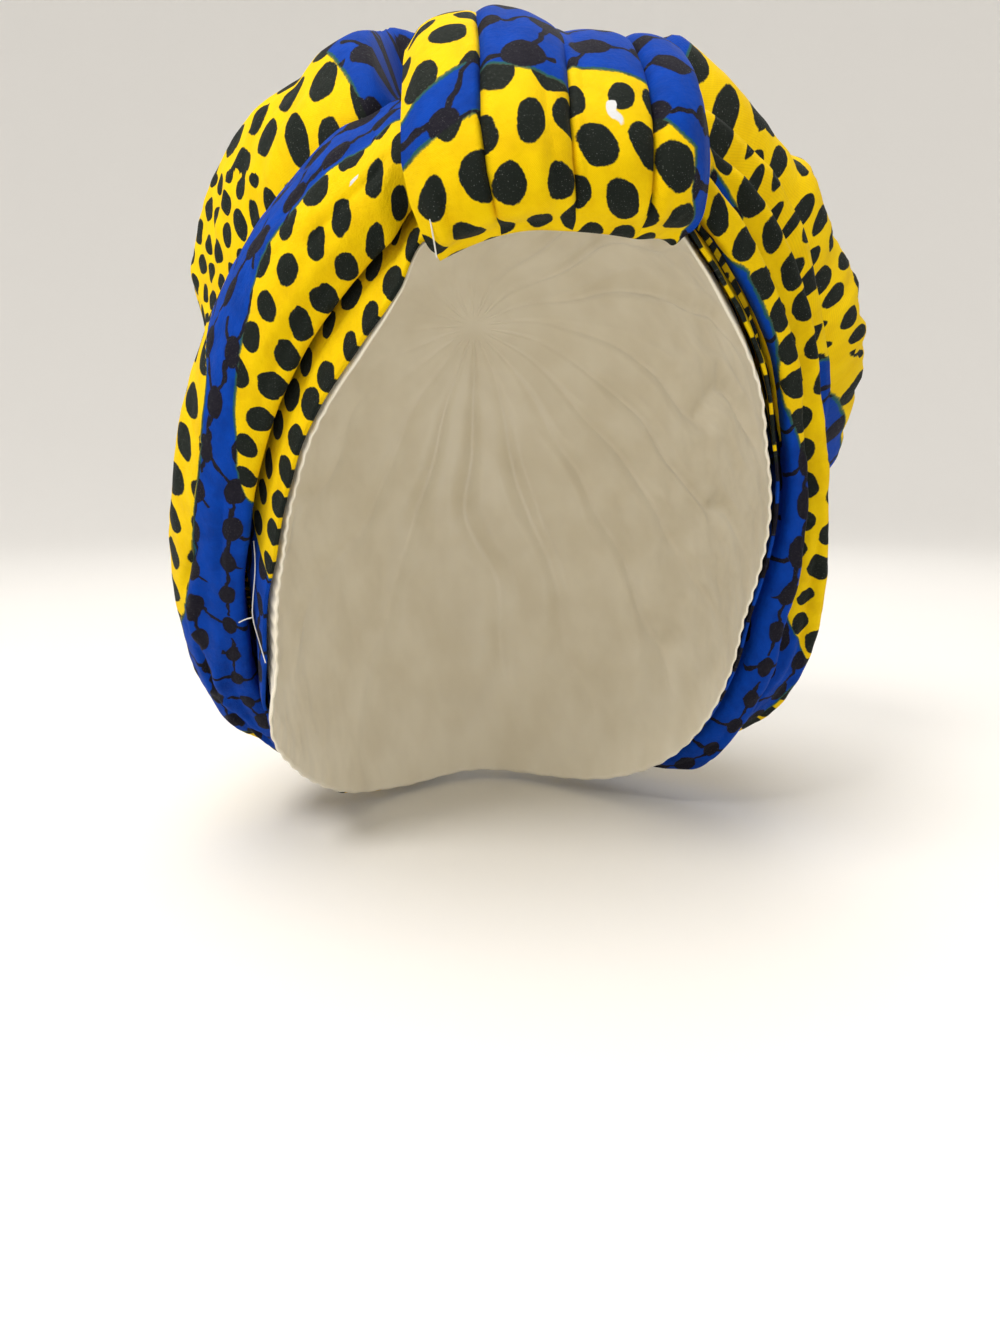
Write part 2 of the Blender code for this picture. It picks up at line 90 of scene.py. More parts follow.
# The face edge, as in the solids.
RIM = table(
    "phi tau    reach seam_s puff lining_s flare",
    (-165, 102, 129, 42, 3.5, -1.5, 0),
    (-150, 110.5, 119, 42, 4.5, -3, 0.5),
    (-135, 115.5, 106, 43, 3.5, -7, 2),
    (-122, 118.5, 97, 43, 1.5, -9, 3),
    (-108, 121, 86, 43, 0.5, -5, 1),
    (-95, 120.8, 80, 43, 0, -2.5, 0),
    (-80, 120.5, 75.5, 43, 0, 0.6, 0),
    (-65, 118, 75, 43, 0, 1, 0),
    (-50, 114, 77, 43, 0, 1, 0),
    (-35, 111.2, 82, 43, 0, 1, 0),
    (-27, 110, 87.5, 42.3, 0, 1.4, 0),
    (-21.5, 107.8, 91.5, 41.4, 0, 2.2, 0),
    (-16.5, 102.9, 95.3, 40.6, 0, 2.6, 0),
    (0, 103, 102, 39, 0, 2.6, 0),
    (13, 101.2, 100.8, 36, 0, 2.6, 0),
    (20, 97.6, 99, 34, 0, 2.6, 0),
    (25.5, 99.6, 96, 33.7, 0, 0.8, 0),
    (35, 100.8, 91, 33, 0, -2.5, 0),
    (50, 103, 86, 34, 0, -2.5, 0),
    (65, 107, 82.5, 34, 0, -2.5, 0),
    (85, 113, 83, 34, 0, -3, 0),
    (100, 116, 85, 34, 0, -3, 0),
    (118, 117, 95, 34, 0, -2, 0),
    (135, 115, 108, 36, 0.5, -2, 0),
    (155, 107.5, 123, 40, 2, -1.5, 0),
    (180, 96, 132, 42, 3, -1.5, 0),
)
BAND_PUFF = table("share puff", (0.0, 0.7), (0.12, 1.0), (0.3, 0.1), (0.65, 0.0), (1.0, 0.0))

CROWN = table(
    "phi fold_s fold_h valley_s valley_h full_s full_h",
    (-155, 47, 19, 60, 31, 88, 40),
    (-130, 50, 20, 63, 29, 90, 34),
    (-110, 55, 20, 68, 24, 92, 25),
    (-90, 60, 18, 72, 15.5, 94, 14),
    (-75, 62, 17.5, 73, 16.5, 94, 16.5),
    (-62, 61, 17, 72, 22.5, 92, 34),
    (-45, 57, 17, 68, 27.5, 90, 39),
    (-32, 52.5, 18, 63, 29.5, 88, 36.5),
    (-26, 50.5, 19.5, 61, 29.5, 87, 40.5),
    (-19.5, 48, 21.5, 58, 29.5, 86, 41),
    (-16.8, 46, 16.5, 78, 17, 92, 48.5),
    (0, 46, 16.8, 80, 16.8, 103, 38),
    (23, 42, 16.5, 79, 17, 93, 48),
    (27.5, 45, 28, 54, 28, 75, 53),
    (45, 46, 30, 54, 27.5, 71, 52),
    (62, 45, 29.5, 53, 28, 69, 54.5),
    (76, 45, 28, 53, 30, 67, 61),
    (90, 45, 25, 53, 34, 67, 58),
    (110, 45, 21, 54, 32, 71, 47),
    (130, 46, 20, 57, 31, 77, 42),
    (155, 46, 19, 60, 32, 84, 41),
    (180, 46, 18, 61, 32, 90, 41),
)
POLE_PUFF = 38.0
GATHERS = 15
GATHER_DEPTH = 1.3

CROWN_FOLDS = table(
    "phi_from s_from phi_to s_to width height",
    (26, 84, 60, 70, 7, 3.5),
    (50, 74, 74, 70, 6, 4.5),
    (30, 100, 84, 92, 8, 3.5),
    (-74, 84, -24, 88, 7, 3),
    (-66, 104, -26, 112, 8, 3),
    (-150, 80, -95, 72, 8, 3),
    (100, 84, 160, 92, 9, 3.5),
)

RIGHT_ROLL = table(
    "phi fold_s fold_h belly_s belly_h back_s back_h",
    (-179.6, 13, 9.5, 22, 13.5, 35, 15),
    (-165, 14, 10, 24, 17, 36.5, 18),
    (-152, 13, 10, 24, 22, 38, 21),
    (-140, 12, 9.5, 25, 26, 43, 24.5),
    (-125, 13, 9.5, 27, 28.5, 49, 26),
    (-110, 13, 9.5, 30, 27, 54, 25),
    (-95, 13, 9, 35, 25, 59, 23),
    (-80, 13, 9, 37, 22.5, 62, 21),
    (-65, 13, 9, 38, 21.5, 61, 20),
    (-50, 13, 8.5, 36, 21.5, 58, 19.5),
    (-35, 14, 8.5, 31, 22, 53, 20),
    (-25, 13, 8.5, 27.5, 22, 47, 21),
    (-18, 8.5, 8.5, 21, 18.5, 41, 18.5),
    (-1, 5, 8, 19, 17, 40, 17),
)

LEFT_PLEATS = table(
    "phi fold_s fold_h front_s front_h valley_s valley_h ridge_s ridge_h back_s back_h",
    (1, 5, 8, 9, 12.5, 15, 14, 21, 17, 36, 16),
    (18, 5, 8, 8.5, 13, 13, 12.5, 20, 17.5, 34, 13),
    (26, 4, 8, 7.5, 13, 12, 9.5, 18, 18, 30.5, 9.5),
    (38, 4, 7.5, 7, 12, 11.5, 8.5, 18.5, 19, 30, 9.5),
    (52, 4.5, 7.5, 7.5, 11, 11.5, 8, 18.5, 18, 30, 9.5),
    (66, 6.5, 7.5, 9, 11, 12.5, 8.5, 18.5, 17, 30, 9.5),
    (80, 8.5, 8, 10.5, 12.5, 14, 10.5, 19, 19, 30, 10.5),
    (95, 8, 8.5, 10, 15, 14, 13.5, 20, 25.5, 31, 15),
    (110, 6, 9, 8, 17.5, 12.5, 17, 20, 33, 33, 22),
    (125, 4, 9, 6, 19, 11.5, 19.5, 20.5, 37, 36, 27),
    (138, 4, 9, 6, 19.5, 12, 20.5, 22, 34, 38, 27),
    (152, 8, 9.5, 10, 14.5, 14.5, 16, 23, 24, 38, 22),
    (165, 12, 10, 13.5, 12.5, 17.5, 13.5, 24, 18, 37, 18.5),
    (179.6, 13, 9.5, 14.5, 11, 18, 12, 24, 14, 35, 15),
)

LOOP_PATH = table(
    "s h side_drop edge_drop left right",
    (10, -2.5, 0, 0, -22, 32),
    (3, -2.5, 0, 0, -24, 34),
    (-1.8, -1.8, 0, 0, -25, 35),
    (-3.3, 2.2, 0.3, 0.5, -26.5, 36.5),
    (-3, 8, 1, 1.5, -29.5, 38),
    (-0.2, 14, 1.5, 2, -32.5, 38.5),
    (5, 19, 2, 2.2, -34, 38.8),
    (12, 22.6, 2, 2.2, -33.5, 39),
    (20, 24.8, 1.8, 2.2, -32.5, 39.3),
    (30, 25.8, 1.2, 2.2, -31.5, 39.5),
    (42, 25.8, 0.8, 2, -30, 39.5),
    (54, 25, 0.6, 1.5, -28.5, 39),
    (65, 23.8, 0.3, 0.5, -27, 38),
    (72, 22.4, 0, 0, -26, 37),
    (75, 21.2, 0, 0, -25.5, 36),
)
LOOP_LEAN = (1.0, 0.4)
LOOP_LEAN_FADES = 45.0
LOOP_EDGE_TURN = 0.06
LOOP_TAIL = 22.0
LOOP_PLEATS = table("start from to", (0.0, 4.4, 4.2), (0.25, 5.0, 0.8), (0.52, -0.6, 2.2), (0.78, 3.2, 5.2))
PLEAT_CROWN = 1.4
PLEAT_STEP = 0.045

# Where the blue print starts and ends on the two rolls, as distances back from their front folds.
ROLL_BLUE = table(
    "phi near   far",
    (-179.6, 60, 70),
    (-165, 36, 60),
    (-150, 12, 24),
    (-137, -9, 15.5),
    (-130, -40, 20),
    (-118, -40, 26),
    (-107, -40, 25),
    (-102, -40, 19.6),
    (-90.6, -40, 16.3),
    (-81.9, -40, 15.8),
    (-75.5, -30, 16),
    (-73.7, -3, 16.1),
    (-68.7, 3.6, 16.5),
    (-61.8, 6.5, 18.5),
    (-58.4, 9, 21),
    (-55.6, 10.5, 28.9),
    (-50.9, 12.9, 60),
    (-45.7, 15.5, 70),
    (-42.3, 18.1, 70),
    (-38.7, 20.5, 70),
    (-27.2, 22.4, 70),
    (-22.8, 20.9, 70),
    (-16.5, 19, 70),
    (-1, 18, 70),
)
PLEAT_BLUE = table(
    "phi near   far",
    (1, -60, -20),
    (24, -60, -8),
    (34, -60, 1),
    (46, -60, 0.5),
    (54, -60, -1.5),
    (62, -60, 1),
    (72, -60, 4.5),
    (82, -60, 9.5),
    (95, -60, 14),
    (106, -60, 17),
    (111, -60, 26),
    (116, -60, 34),
    (128, -60, 31),
    (142, -60, 27),
    (158, -60, 16),
    (179.6, -60, 2),
)
SMALL_BLUE_SLIT = (24.0, 31.0, 14.6, 18.6)
# The face band's two blue lengths: where each starts and ends, and how far its ends slant with s.
BAND_BLUE = table("start start_slant end end_slant", (-142.0, -0.2, -87.5, 0.25), (67.0, -0.1, 139.0, 0.0))
# The blue band over the crown, on its flat map: its middle and half width at each y.
CROWN_BAND = table(
    "y x half",
    (-190, -4, 30),
    (-60, 4, 34),
    (60, 1, 43),
    (130, -1, 46),
)
# The blue low on the wearer's left: the x that it starts at and the phi that it ends at.
SIDE_BAND_X = 121.0
SIDE_BAND_END = 97.0
# The small dots of the crown start beyond these: x on the wearer's right and left, and y at the back.
SMALL_DOTS_RIGHT, SMALL_DOTS_LEFT, SMALL_DOTS_BACK = -74, 66, -84

# The print's repeat on each cloth, across and along, in millimetres.
CROWN_PITCH = (12, 11)
LOOP_PITCH = (10.3, 9.2)
BAND_PITCH_RIGHT = (9.6, 11.5)
BAND_PITCH_LEFT = (12.5, 10)
ROLL_PITCH, PLEAT_PITCH = 9.7, 10.8


def monotone(keys, values, at):
    """A smooth curve through the points (keys, values) that never overshoots them, read at each of at."""
    keys, values, at = np.asarray(keys), np.asarray(values), np.asarray(at, float)
    steps = np.diff(keys)
    slopes = np.diff(values) / steps
    tangents = np.zeros(len(keys))
    turning = slopes[:-1] * slopes[1:] <= 0
    with np.errstate(divide="ignore", invalid="ignore"):
        middle = 2 * slopes[:-1] * slopes[1:] / (slopes[:-1] + slopes[1:])
    tangents[1:-1] = np.where(turning, 0, middle)
    tangents[0], tangents[-1] = slopes[0], slopes[-1]
    cell = np.clip(np.searchsorted(keys, at) - 1, 0, len(steps) - 1)
    width = steps[cell]
    t = np.clip((at - keys[cell]) / width, 0, 1)
    return (
        values[cell] * (1 + 2 * t) * (1 - t) ** 2
        + values[cell + 1] * (3 - 2 * t) * t**2
        + tangents[cell] * width * t * (1 - t) ** 2
        - tangents[cell + 1] * width * t**2 * (1 - t)
    )


def round_ring(rows, name, phi):
    """A column of a table that goes all the way round, read at phi."""
    keys = np.concatenate([rows["phi"] - 360, rows["phi"], rows["phi"] + 360])
    return monotone(keys, np.tile(rows[name], 3), (np.asarray(phi, float) + 180) % 360 - 180)


def smoothstep(t):
    """0 below 0, 1 above 1, smooth between."""
    t = np.clip(t, 0, 1)
    return t * t * (3 - 2 * t)


def window(value, low, rise, high, fall):
    """0 outside low and high, 1 between low + rise and high - fall, smooth between."""
    return smoothstep((value - low) / rise) * smoothstep((high - value) / fall)


def direction(phi, tau):
    """The unit ray from the head's centre at angle phi round the crown's axis and tau away from it."""
    phi, tau = np.radians(phi)[..., None], np.radians(tau)[..., None]
    across = TOWARDS_FOREHEAD * np.cos(phi) + TOWARDS_LEFT_EAR * np.sin(phi)
    return AXIS * np.cos(tau) + across * np.sin(tau)


def head_reach(ray):
    """How far the head's surface is from its centre along a ray."""
    return 1 / np.linalg.norm(ray / HEAD_RADII, axis=-1)


def lining_reach(phi, tau):
    """The lining's inside: the head, drawn in or let out to the face edge as tau nears it."""
    rim_tau = round_ring(RIM, "tau", phi)
    pull = round_ring(RIM, "reach", phi) - head_reach(direction(phi, rim_tau))
    return head_reach(direction(phi, tau)) + pull * (tau / rim_tau) ** RIM_PULL_POWER


def tau_at(phi, s):
    """The angle tau of the place that is s back from the face edge."""
    return round_ring(RIM, "tau", phi) - np.degrees(s / MEAN_REACH)


def place_tau(phi, tau, h):
    """The point at phi and tau, at height h above the lining, in metres."""
    ray = direction(phi, tau)
    return (HEAD_CENTRE + ray * (lining_reach(phi, tau) + h)[..., None]) * MM


def place(phi, s, h):
    """The point at angle phi, distance s from the face edge and height h above the lining, in metres."""
    phi, s, h = np.broadcast_arrays(np.asarray(phi, float), s, h)
    return place_tau(phi, tau_at(phi, s), h)


def distance_back(phi, tau):
    """The distance s back from the face edge of the place at phi and tau."""
    return np.radians(round_ring(RIM, "tau", phi) - tau) * MEAN_REACH


def ring_to_pole(phi, start, count, even):
    """A grid of (phi, tau) from the angles start to the pole, whose rows crowd towards the start."""
    share = np.linspace(0, 1, count)
    share = even * share + (1 - even) * share**2
    tau = start[:, None] + (POLE_TAU - start)[:, None] * share
    return np.broadcast_to(phi[:, None], tau.shape), tau


def flat_map(phi, tau):
    """(x, y) on a map of the bag seen along its axis, in millimetres: y points to the forehead."""
    rho = np.radians(tau) * MEAN_REACH
    return rho * np.sin(np.radians(phi)), rho * np.cos(np.radians(phi))


def running_length(points):
    """Distance along each line of points from its first point."""
    steps = np.linalg.norm(np.diff(points, axis=0), axis=-1)
    return np.concatenate([np.zeros((1,) + steps.shape[1:]), np.cumsum(steps, axis=0)])


def smooth_section(points, count):
    """count points, evenly spaced along a smooth curve through the given (s, h) points."""
    points = np.array(points, float)
    ends = np.vstack([2 * points[0] - points[1], points, 2 * points[-1] - points[-2]])
    t = np.linspace(0, 1, 12, endpoint=False)[:, None]
    curve = [
        0.5 * (2 * b + (c - a) * t + (2 * a - 5 * b + 4 * c - d) * t**2 + (3 * b - a - 3 * c + d) * t**3)
        for a, b, c, d in zip(ends, ends[1:], ends[2:], ends[3:])
    ]
    curve = np.vstack([*curve, points[-1:]])
    length = running_length(curve)
    even = np.linspace(0, length[-1], count)
    return np.stack([np.interp(even, length, curve[:, k]) for k in (0, 1)], axis=-1)


NOISE_CELLS = 64


def noise(x, y, size, seed):
    """Smooth value noise from -1 to 1, whose bumps are about size across."""
    grid = np.random.default_rng(seed).uniform(-1, 1, (NOISE_CELLS, NOISE_CELLS))
    x, y = np.asarray(x) / size, np.asarray(y) / size
    i, j = np.floor(x).astype(int), np.floor(y).astype(int)
    a, b = smoothstep(x - i), smoothstep(y - j)

    def corner(di, dj):
        return grid[(i + di) % NOISE_CELLS, (j + dj) % NOISE_CELLS]

    low = corner(0, 0) * (1 - a) + corner(1, 0) * a
    high = corner(0, 1) * (1 - a) + corner(1, 1) * a
    return low * (1 - b) + high * b


def ripples(x, y, rows):
    """Layers of noise, each with its height, size and seed, and how x and y are scaled and skewed for it."""
    return sum(
        height * noise(x * x_scale + skew * y, y * y_scale, size, seed)
        for height, size, seed, x_scale, skew, y_scale in rows
    )


def ridges(x, y, rows, scale=(1.0, 1.0)):
    """Raised or sunken lines from one place to another, each with its half width and height."""
    extra = np.zeros(np.broadcast(x, y).shape)
    for x0, y0, x1, y1, width, height in zip(*rows.values()):
        dx, dy = (x1 - x0) * scale[0], (y1 - y0) * scale[1]
        length = math.hypot(dx, dy)
        px, py = (x - x0) * scale[0], (y - y0) * scale[1]
        along = (px * dx + py * dy) / length**2
        across = (px * dy - py * dx) / length / width
        ends = smoothstep(along * 3.5) * smoothstep((1 - along) * 3.5)
        extra += height * ends * np.exp(-(across**2))
    return extra


def crown_height(phi, tau):
    """How far the crown stands above the lining."""
    seam = tau_at(phi, round_ring(RIM, "seam_s", phi) + SEAM_GAP)
    lines = ("fold_s", "valley_s", "full_s")
    fold, valley, full = (tau_at(phi, round_ring(CROWN, name, phi)) for name in lines)
    fold_h, valley_h, full_h = (round_ring(CROWN, name, phi) for name in ("fold_h", "valley_h", "full_h"))
    height = np.empty_like(tau)
    for i in range(len(phi)):
        keys = [0, full[i] * 0.5, full[i], valley[i], fold[i], seam[i]]
        values = [POLE_PUFF, (POLE_PUFF + full_h[i]) / 2 + 1, full_h[i], valley_h[i], fold_h[i], CROWN_SEAM_H]
        height[i] = monotone(keys, values, tau[i])
    return height


def crown_folds(phi, s):
    """The soft ridges and the gathers at the seam, as extra height."""
    phi = (phi + 180) % 360 - 180
    extra = np.zeros_like(s)
    for start, s0, end, s1, width, height in zip(*CROWN_FOLDS.values()):
        along = (phi - start) / (end - start)
        ends = smoothstep(along * 5) * smoothstep((1 - along) * 5)
        across = (s - s0 - (s1 - s0) * np.clip(along, 0, 1)) / width
        extra += height * ends * np.exp(-(across**2))
    behind = smoothstep((np.abs(phi) - 40) / 40)
    near_seam = window(s, 48, 12, 120, 50)
    return extra + GATHER_DEPTH * np.sin(np.radians(phi * GATHERS)) * near_seam * behind


def roll_section(z):
    """The roll's cross section as (s, h) points: from its hidden edge, round its front fold, to its back."""
    return [
        (z["fold_s"] + 20, UNDER_H),
        (z["fold_s"] + 8, UNDER_H),
        (z["fold_s"] + 1.5, UNDER_H + 0.6),
        (z["fold_s"], z["fold_h"]),
        (z["fold_s"] * 0.6 + z["belly_s"] * 0.4, z["fold_h"] * 0.28 + z["belly_h"] * 0.72),
        (z["belly_s"], z["belly_h"]),
        (z["back_s"] - 5, z["back_h"] * 0.85 + z["belly_h"] * 0.15),
        (z["back_s"], z["back_h"]),
    ]


def pleat_section(z):
    """The two pleats' cross section, in the same way: front pleat, valley, ridge and back."""
    return [
        (z["fold_s"] + 15, UNDER_H),
        (z["fold_s"] + 6, UNDER_H),
        (z["fold_s"], z["fold_h"]),
        (z["front_s"], z["front_h"]),
        (z["valley_s"], z["valley_h"]),
        (z["ridge_s"], z["ridge_h"]),
        ((z["ridge_s"] + z["back_s"]) / 2, z["ridge_h"] * 0.72 + z["back_h"] * 0.28),
        (z["back_s"], z["back_h"]),
    ]


def pleat_height(share):
    """The loop's pleats across its width: each one is crowned, and steps up or down at its start."""
    starts = np.append(LOOP_PLEATS["start"], 1.0)
    pleat = np.clip(np.searchsorted(starts, share, side="right") - 1, 0, len(LOOP_PLEATS["start"]) - 1)
    within = (share - starts[pleat]) / (starts[pleat + 1] - starts[pleat])
    blend = np.where(pleat > 0, smoothstep((share - starts[pleat]) / PLEAT_STEP), 1)
    own = LOOP_PLEATS["from"][pleat] + (LOOP_PLEATS["to"][pleat] - LOOP_PLEATS["from"][pleat]) * within
    before = LOOP_PLEATS["to"][np.maximum(pleat - 1, 0)]
    return before + (own - before) * blend + PLEAT_CROWN * (1 - (2 * within - 1) ** 2)


# Folds and puckers too fine for the solids: on the rolls they run from (phi, distance back from the fold).
ROLL_FOLDS = table(
    "x0 y0 x1 y1 width height",
    (-52, 9, -19, 7, 2.2, 0.8),
    (-40, 26, -17, 23, 2, -0.8),
    (-34, 13, -16, 12, 1.5, -0.9),
    (-92, 25, -60, 33, 4, 1.1),
    (-120, 16, -88, 9, 3, -1.2),
    (-132, 24, -98, 19, 3, -1),
    (-138, 9, -106, 5, 2.4, -1),
    (-170, 14, -136, 19, 3, 1.1),
    (-160, 28, -128, 33, 3, -1),
    (-100, 21, -84, 12.5, 1.5, -1.5),
    (-112, 20, -94, 14, 1.6, 1.3),
    (-124, 12, -104, 20, 1.7, -1.9),
    (-133, 16, -112, 10.5, 1.8, 1.5),
    (-141, 10.5, -120, 15.5, 1.6, -1.8),
    (-146, 20, -126, 13, 1.8, -1.5),
    (-96, 5.5, -70, 8, 1.5, -1),
    (-58, 3.5, -24, 3.5, 1.4, -0.8),
)
PLEAT_FOLDS = table(
    "x0 y0 x1 y1 width height",
    (26, 9, 72, 9, 1.6, -0.7),
    (96, 8, 140, 10, 2, -1),
    (100, 24, 150, 20, 2.6, 1),
    (84, 19, 122, 28, 2, -0.9),
    (126, 27, 168, 22, 3, -0.9),
)
# Each line along the pleats that is made sharper: its column, half width and height.
PLEAT_CRESTS = (("front_s", 1.2, 0.9), ("valley_s", 2.0, -2.6), ("ridge_s", 1.5, 1.6))
CROWN_CREASES = table(
    "x0 y0 x1 y1 width height",
    (18, 45, 100, 45, 1.9, 2.6),
    (20, 50.5, 92, 51, 2.4, -1.2),
    (22, 58, 58, 49.5, 1.9, 1.8),
    (22, 62.5, 60, 53.5, 1.9, -1.6),
    (24, 68, 84, 57, 2.6, 2),
    (30, 74, 90, 62, 2.2, -1.4),
    (50, 66, 64, 65, 2.2, 2.2),
    (60, 50, 100, 55, 2, 1.5),
    (88, 70, 110, 60, 2.6, 1.4),
    (30, 92, 62, 84, 2.6, -1.2),
    (-30, 78, -58, 70, 2.4, 1.4),
    (-36, 86, -66, 80, 2.6, -1.3),
    (-26, 66, -50, 60, 2.2, -1.2),
    (-60, 92, -84, 76, 3, 1.5),
)
# Layers of fine unevenness: height, size, seed, x scale, skew and y scale.
ROLL_RIPPLES, PLEAT_RIPPLES = (
    ((0.45, 17, seed, 1, 0, 1), (0.28, 7, seed + 1, 1, 0.4, 1.6), (0.12, 3.2, seed + 2, 1, -0.5, 1.5))
    for seed in (51, 61)
)
CROWN_RIPPLES = ((1.1, 30, 11, 1, 0, 1), (0.7, 13, 12, 1.3, 0, 0.8), (0.28, 5.5, 13, 1, 0, 1))
LINING_FOLD_DEPTH = 4.2
LINING_RIPPLES = ((1.3, 34, 32, 1, 0, 1), (0.45, 12, 33, 1, 0, 1))
LOOP_RIPPLES = ((0.35, 13, 41, 1, 0, 1), (0.18, 5, 42, 1.6, 0, 0.7))


def roll_cloth(rows, section, steps, count, folds, crests, flip, pitch, uneven):
    """One of the two rolls as a fine grid, its print coordinates, phi and distance v from its front fold."""
    angles = np.linspace(rows["phi"][0], rows["phi"][-1], steps)
    columns = {name: monotone(rows["phi"], rows[name], angles) for name in rows}
    s, h, v = [], [], []
    for k in range(steps):
        curve = smooth_section(section({name: columns[name][k] for name in rows}), count)
        along = running_length(curve)
        s.append(curve[:, 0])
        h.append(curve[:, 1])
        v.append(along - along[np.argmin(curve[:, 0])])
    s, h, v = np.array(s), np.array(h), np.array(v)
    phi = np.broadcast_to(angles[:, None], s.shape)
    ds, dh = np.gradient(s, axis=1), np.gradient(h, axis=1)
    size = np.hypot(ds, dh)
    out_s, out_h = -dh / size, ds / size
    shown = smoothstep((v - 0.5) / 5) * smoothstep((v.max(axis=1)[:, None] - v) / 7)
    x = running_length(place(phi, s, h))[:, [count // 2]] / MM * np.ones_like(v)
    raised = ridges(phi, v, folds, (ROLL_DEGREE, 1.0)) + ripples(x, v, uneven)
    for name, width, height in crests:
        crest = np.exp(-(((s - columns[name][:, None]) / width) ** 2)) * (h > UNDER_H + 2)
        raised += height * crest * smoothstep((np.abs(phi) - 24) / 6)
    raised *= shown
    points = place(phi, s + out_s * raised, h + out_h * raised)
    x = flip * (x - x[-1 if flip > 0 else 0])
    return points, {"px": x / pitch, "py": v / (pitch * 0.9)}, phi, v


def blue_between(rows, phi, v):
    """How far inside the blue band a place is, in millimetres."""
    near, far = (monotone(rows["phi"], rows[name], phi) for name in ("near", "far"))
    return np.minimum(v - near, far - v)


# Beyond the roll's blue band its dots are larger: the print's scales and how far it is moved.
FAR_DOTS = ((0.82, 0.3), (0.62, 0.45))
# The white dash and the white speck on the roll: phi and distance from the front fold.
ROLL_DASH_AT, ROLL_SPECK_AT = (-22.9, 14.6), (-52.2, 10.7)


def right_roll_print(fields, phi, v):
    """The blue band, the larger dots beyond it and the two white marks of the right roll."""
    beyond = v > monotone(ROLL_BLUE["phi"], ROLL_BLUE["far"], phi)
    px, py = (
        np.where(beyond, fields[name] * scale + move, fields[name])
        for name, (scale, move) in zip(("px", "py"), FAR_DOTS)
    )
    dash_x = (phi - ROLL_DASH_AT[0]) * 2.0
    dash = np.maximum(np.abs(dash_x - 0.2) - 1.7, 4 * (np.abs(v - ROLL_DASH_AT[1] - 0.25 * dash_x) - 0.35))
    speck = 0.45 - np.hypot((phi - ROLL_SPECK_AT[0]) * 2, v - ROLL_SPECK_AT[1])
    blue = blue_between(ROLL_BLUE, phi, v)
    return {"px": px, "py": py, "blue": blue, "small": 0 * v, "chip": np.maximum(-dash, speck)}


def left_pleats_print(phi, v):
    """The blue band of the left pleats, and the small blue slit beside the loop."""
    phi_from, phi_to, v_from, v_to = SMALL_BLUE_SLIT
    slit = np.minimum((phi - phi_from) * ROLL_DEGREE, (phi_to - phi) * ROLL_DEGREE)
    slit = np.minimum(slit, np.minimum(v - v_from, v_to - v))
    return {"blue": np.maximum(blue_between(PLEAT_BLUE, phi, v), slit), "small": 0 * v}


def crown_cloth(steps, count):
    """The bag behind the loop as a fine grid from its seam to its pole, with its print coordinates."""
    around = np.linspace(-180, 180, steps, endpoint=False)
    start = tau_at(around, round_ring(RIM, "seam_s", around) + SEAM_GAP)
    phi, tau = ring_to_pole(around, start, count, even=0.55)
    s = distance_back(phi, tau)
    x, y = flat_map(phi, tau)
    height = crown_height(around, tau) + crown_folds(phi, s)

    left_side = window(phi, 25, 3, 104, 14)
    shown = smoothstep((s - 52 + 16 * left_side) / (9 - 3 * left_side))
    under_loop = window(phi, -23, 5, 28, 5) * smoothstep((92 - s) / 8)
    in_front = window(phi, 22, 6, 108, 12) * smoothstep((66 - s) / 10)
    rear_left = window(phi, 56, 8, 132, 12) * smoothstep((92 - s) / 18) * (1 - in_front)
    rear_right = window(-phi, 48, 8, 150, 14) * smoothstep((96 - s) / 22)

    pucker = smoothstep((118 - s) / 60) * smoothstep((np.abs(phi) - 34) / 20) * (1 - 0.9 * in_front)
    waves = np.sin(np.radians(phi * 62) + 2.2 * noise(x, y, 24, 14)) * (0.6 + 0.5 * noise(x, y, 40, 15))
    teeth = np.sin(np.radians(phi * 118) + 1.6 * noise(x, y, 14, 17)) * (0.6 + 0.6 * noise(x, y, 18, 18))
    raised = ridges(phi, s, CROWN_CREASES, (CROWN_DEGREE, 1.0)) + ripples(x, y, CROWN_RIPPLES)
    raised += 0.75 * pucker * waves + 0.55 * teeth * np.maximum(rear_left, rear_right)
    points = place_tau(phi, tau, height + raised * shown * (1 - under_loop))

    keys = CROWN_BAND["y"]
    middle, half = (monotone(keys, CROWN_BAND[name], np.clip(y, keys[0], keys[-1])) for name in ("x", "half"))
    blue = half + 1.6 * noise(y, 0 * y, 22, 16) - np.abs(x - middle)
    side = np.minimum(x - SIDE_BAND_X, (SIDE_BAND_END - phi) * 2.2)
    beyond = np.maximum(np.maximum(SMALL_DOTS_RIGHT - x, x - SMALL_DOTS_LEFT), SMALL_DOTS_BACK - y)
    small = np.where(side > -8, 0.0, smoothstep(beyond / 2))
    px, py = x / CROWN_PITCH[0], y / CROWN_PITCH[1]
    return points, {"px": px, "py": py, "blue": np.maximum(blue, side), "small": small}


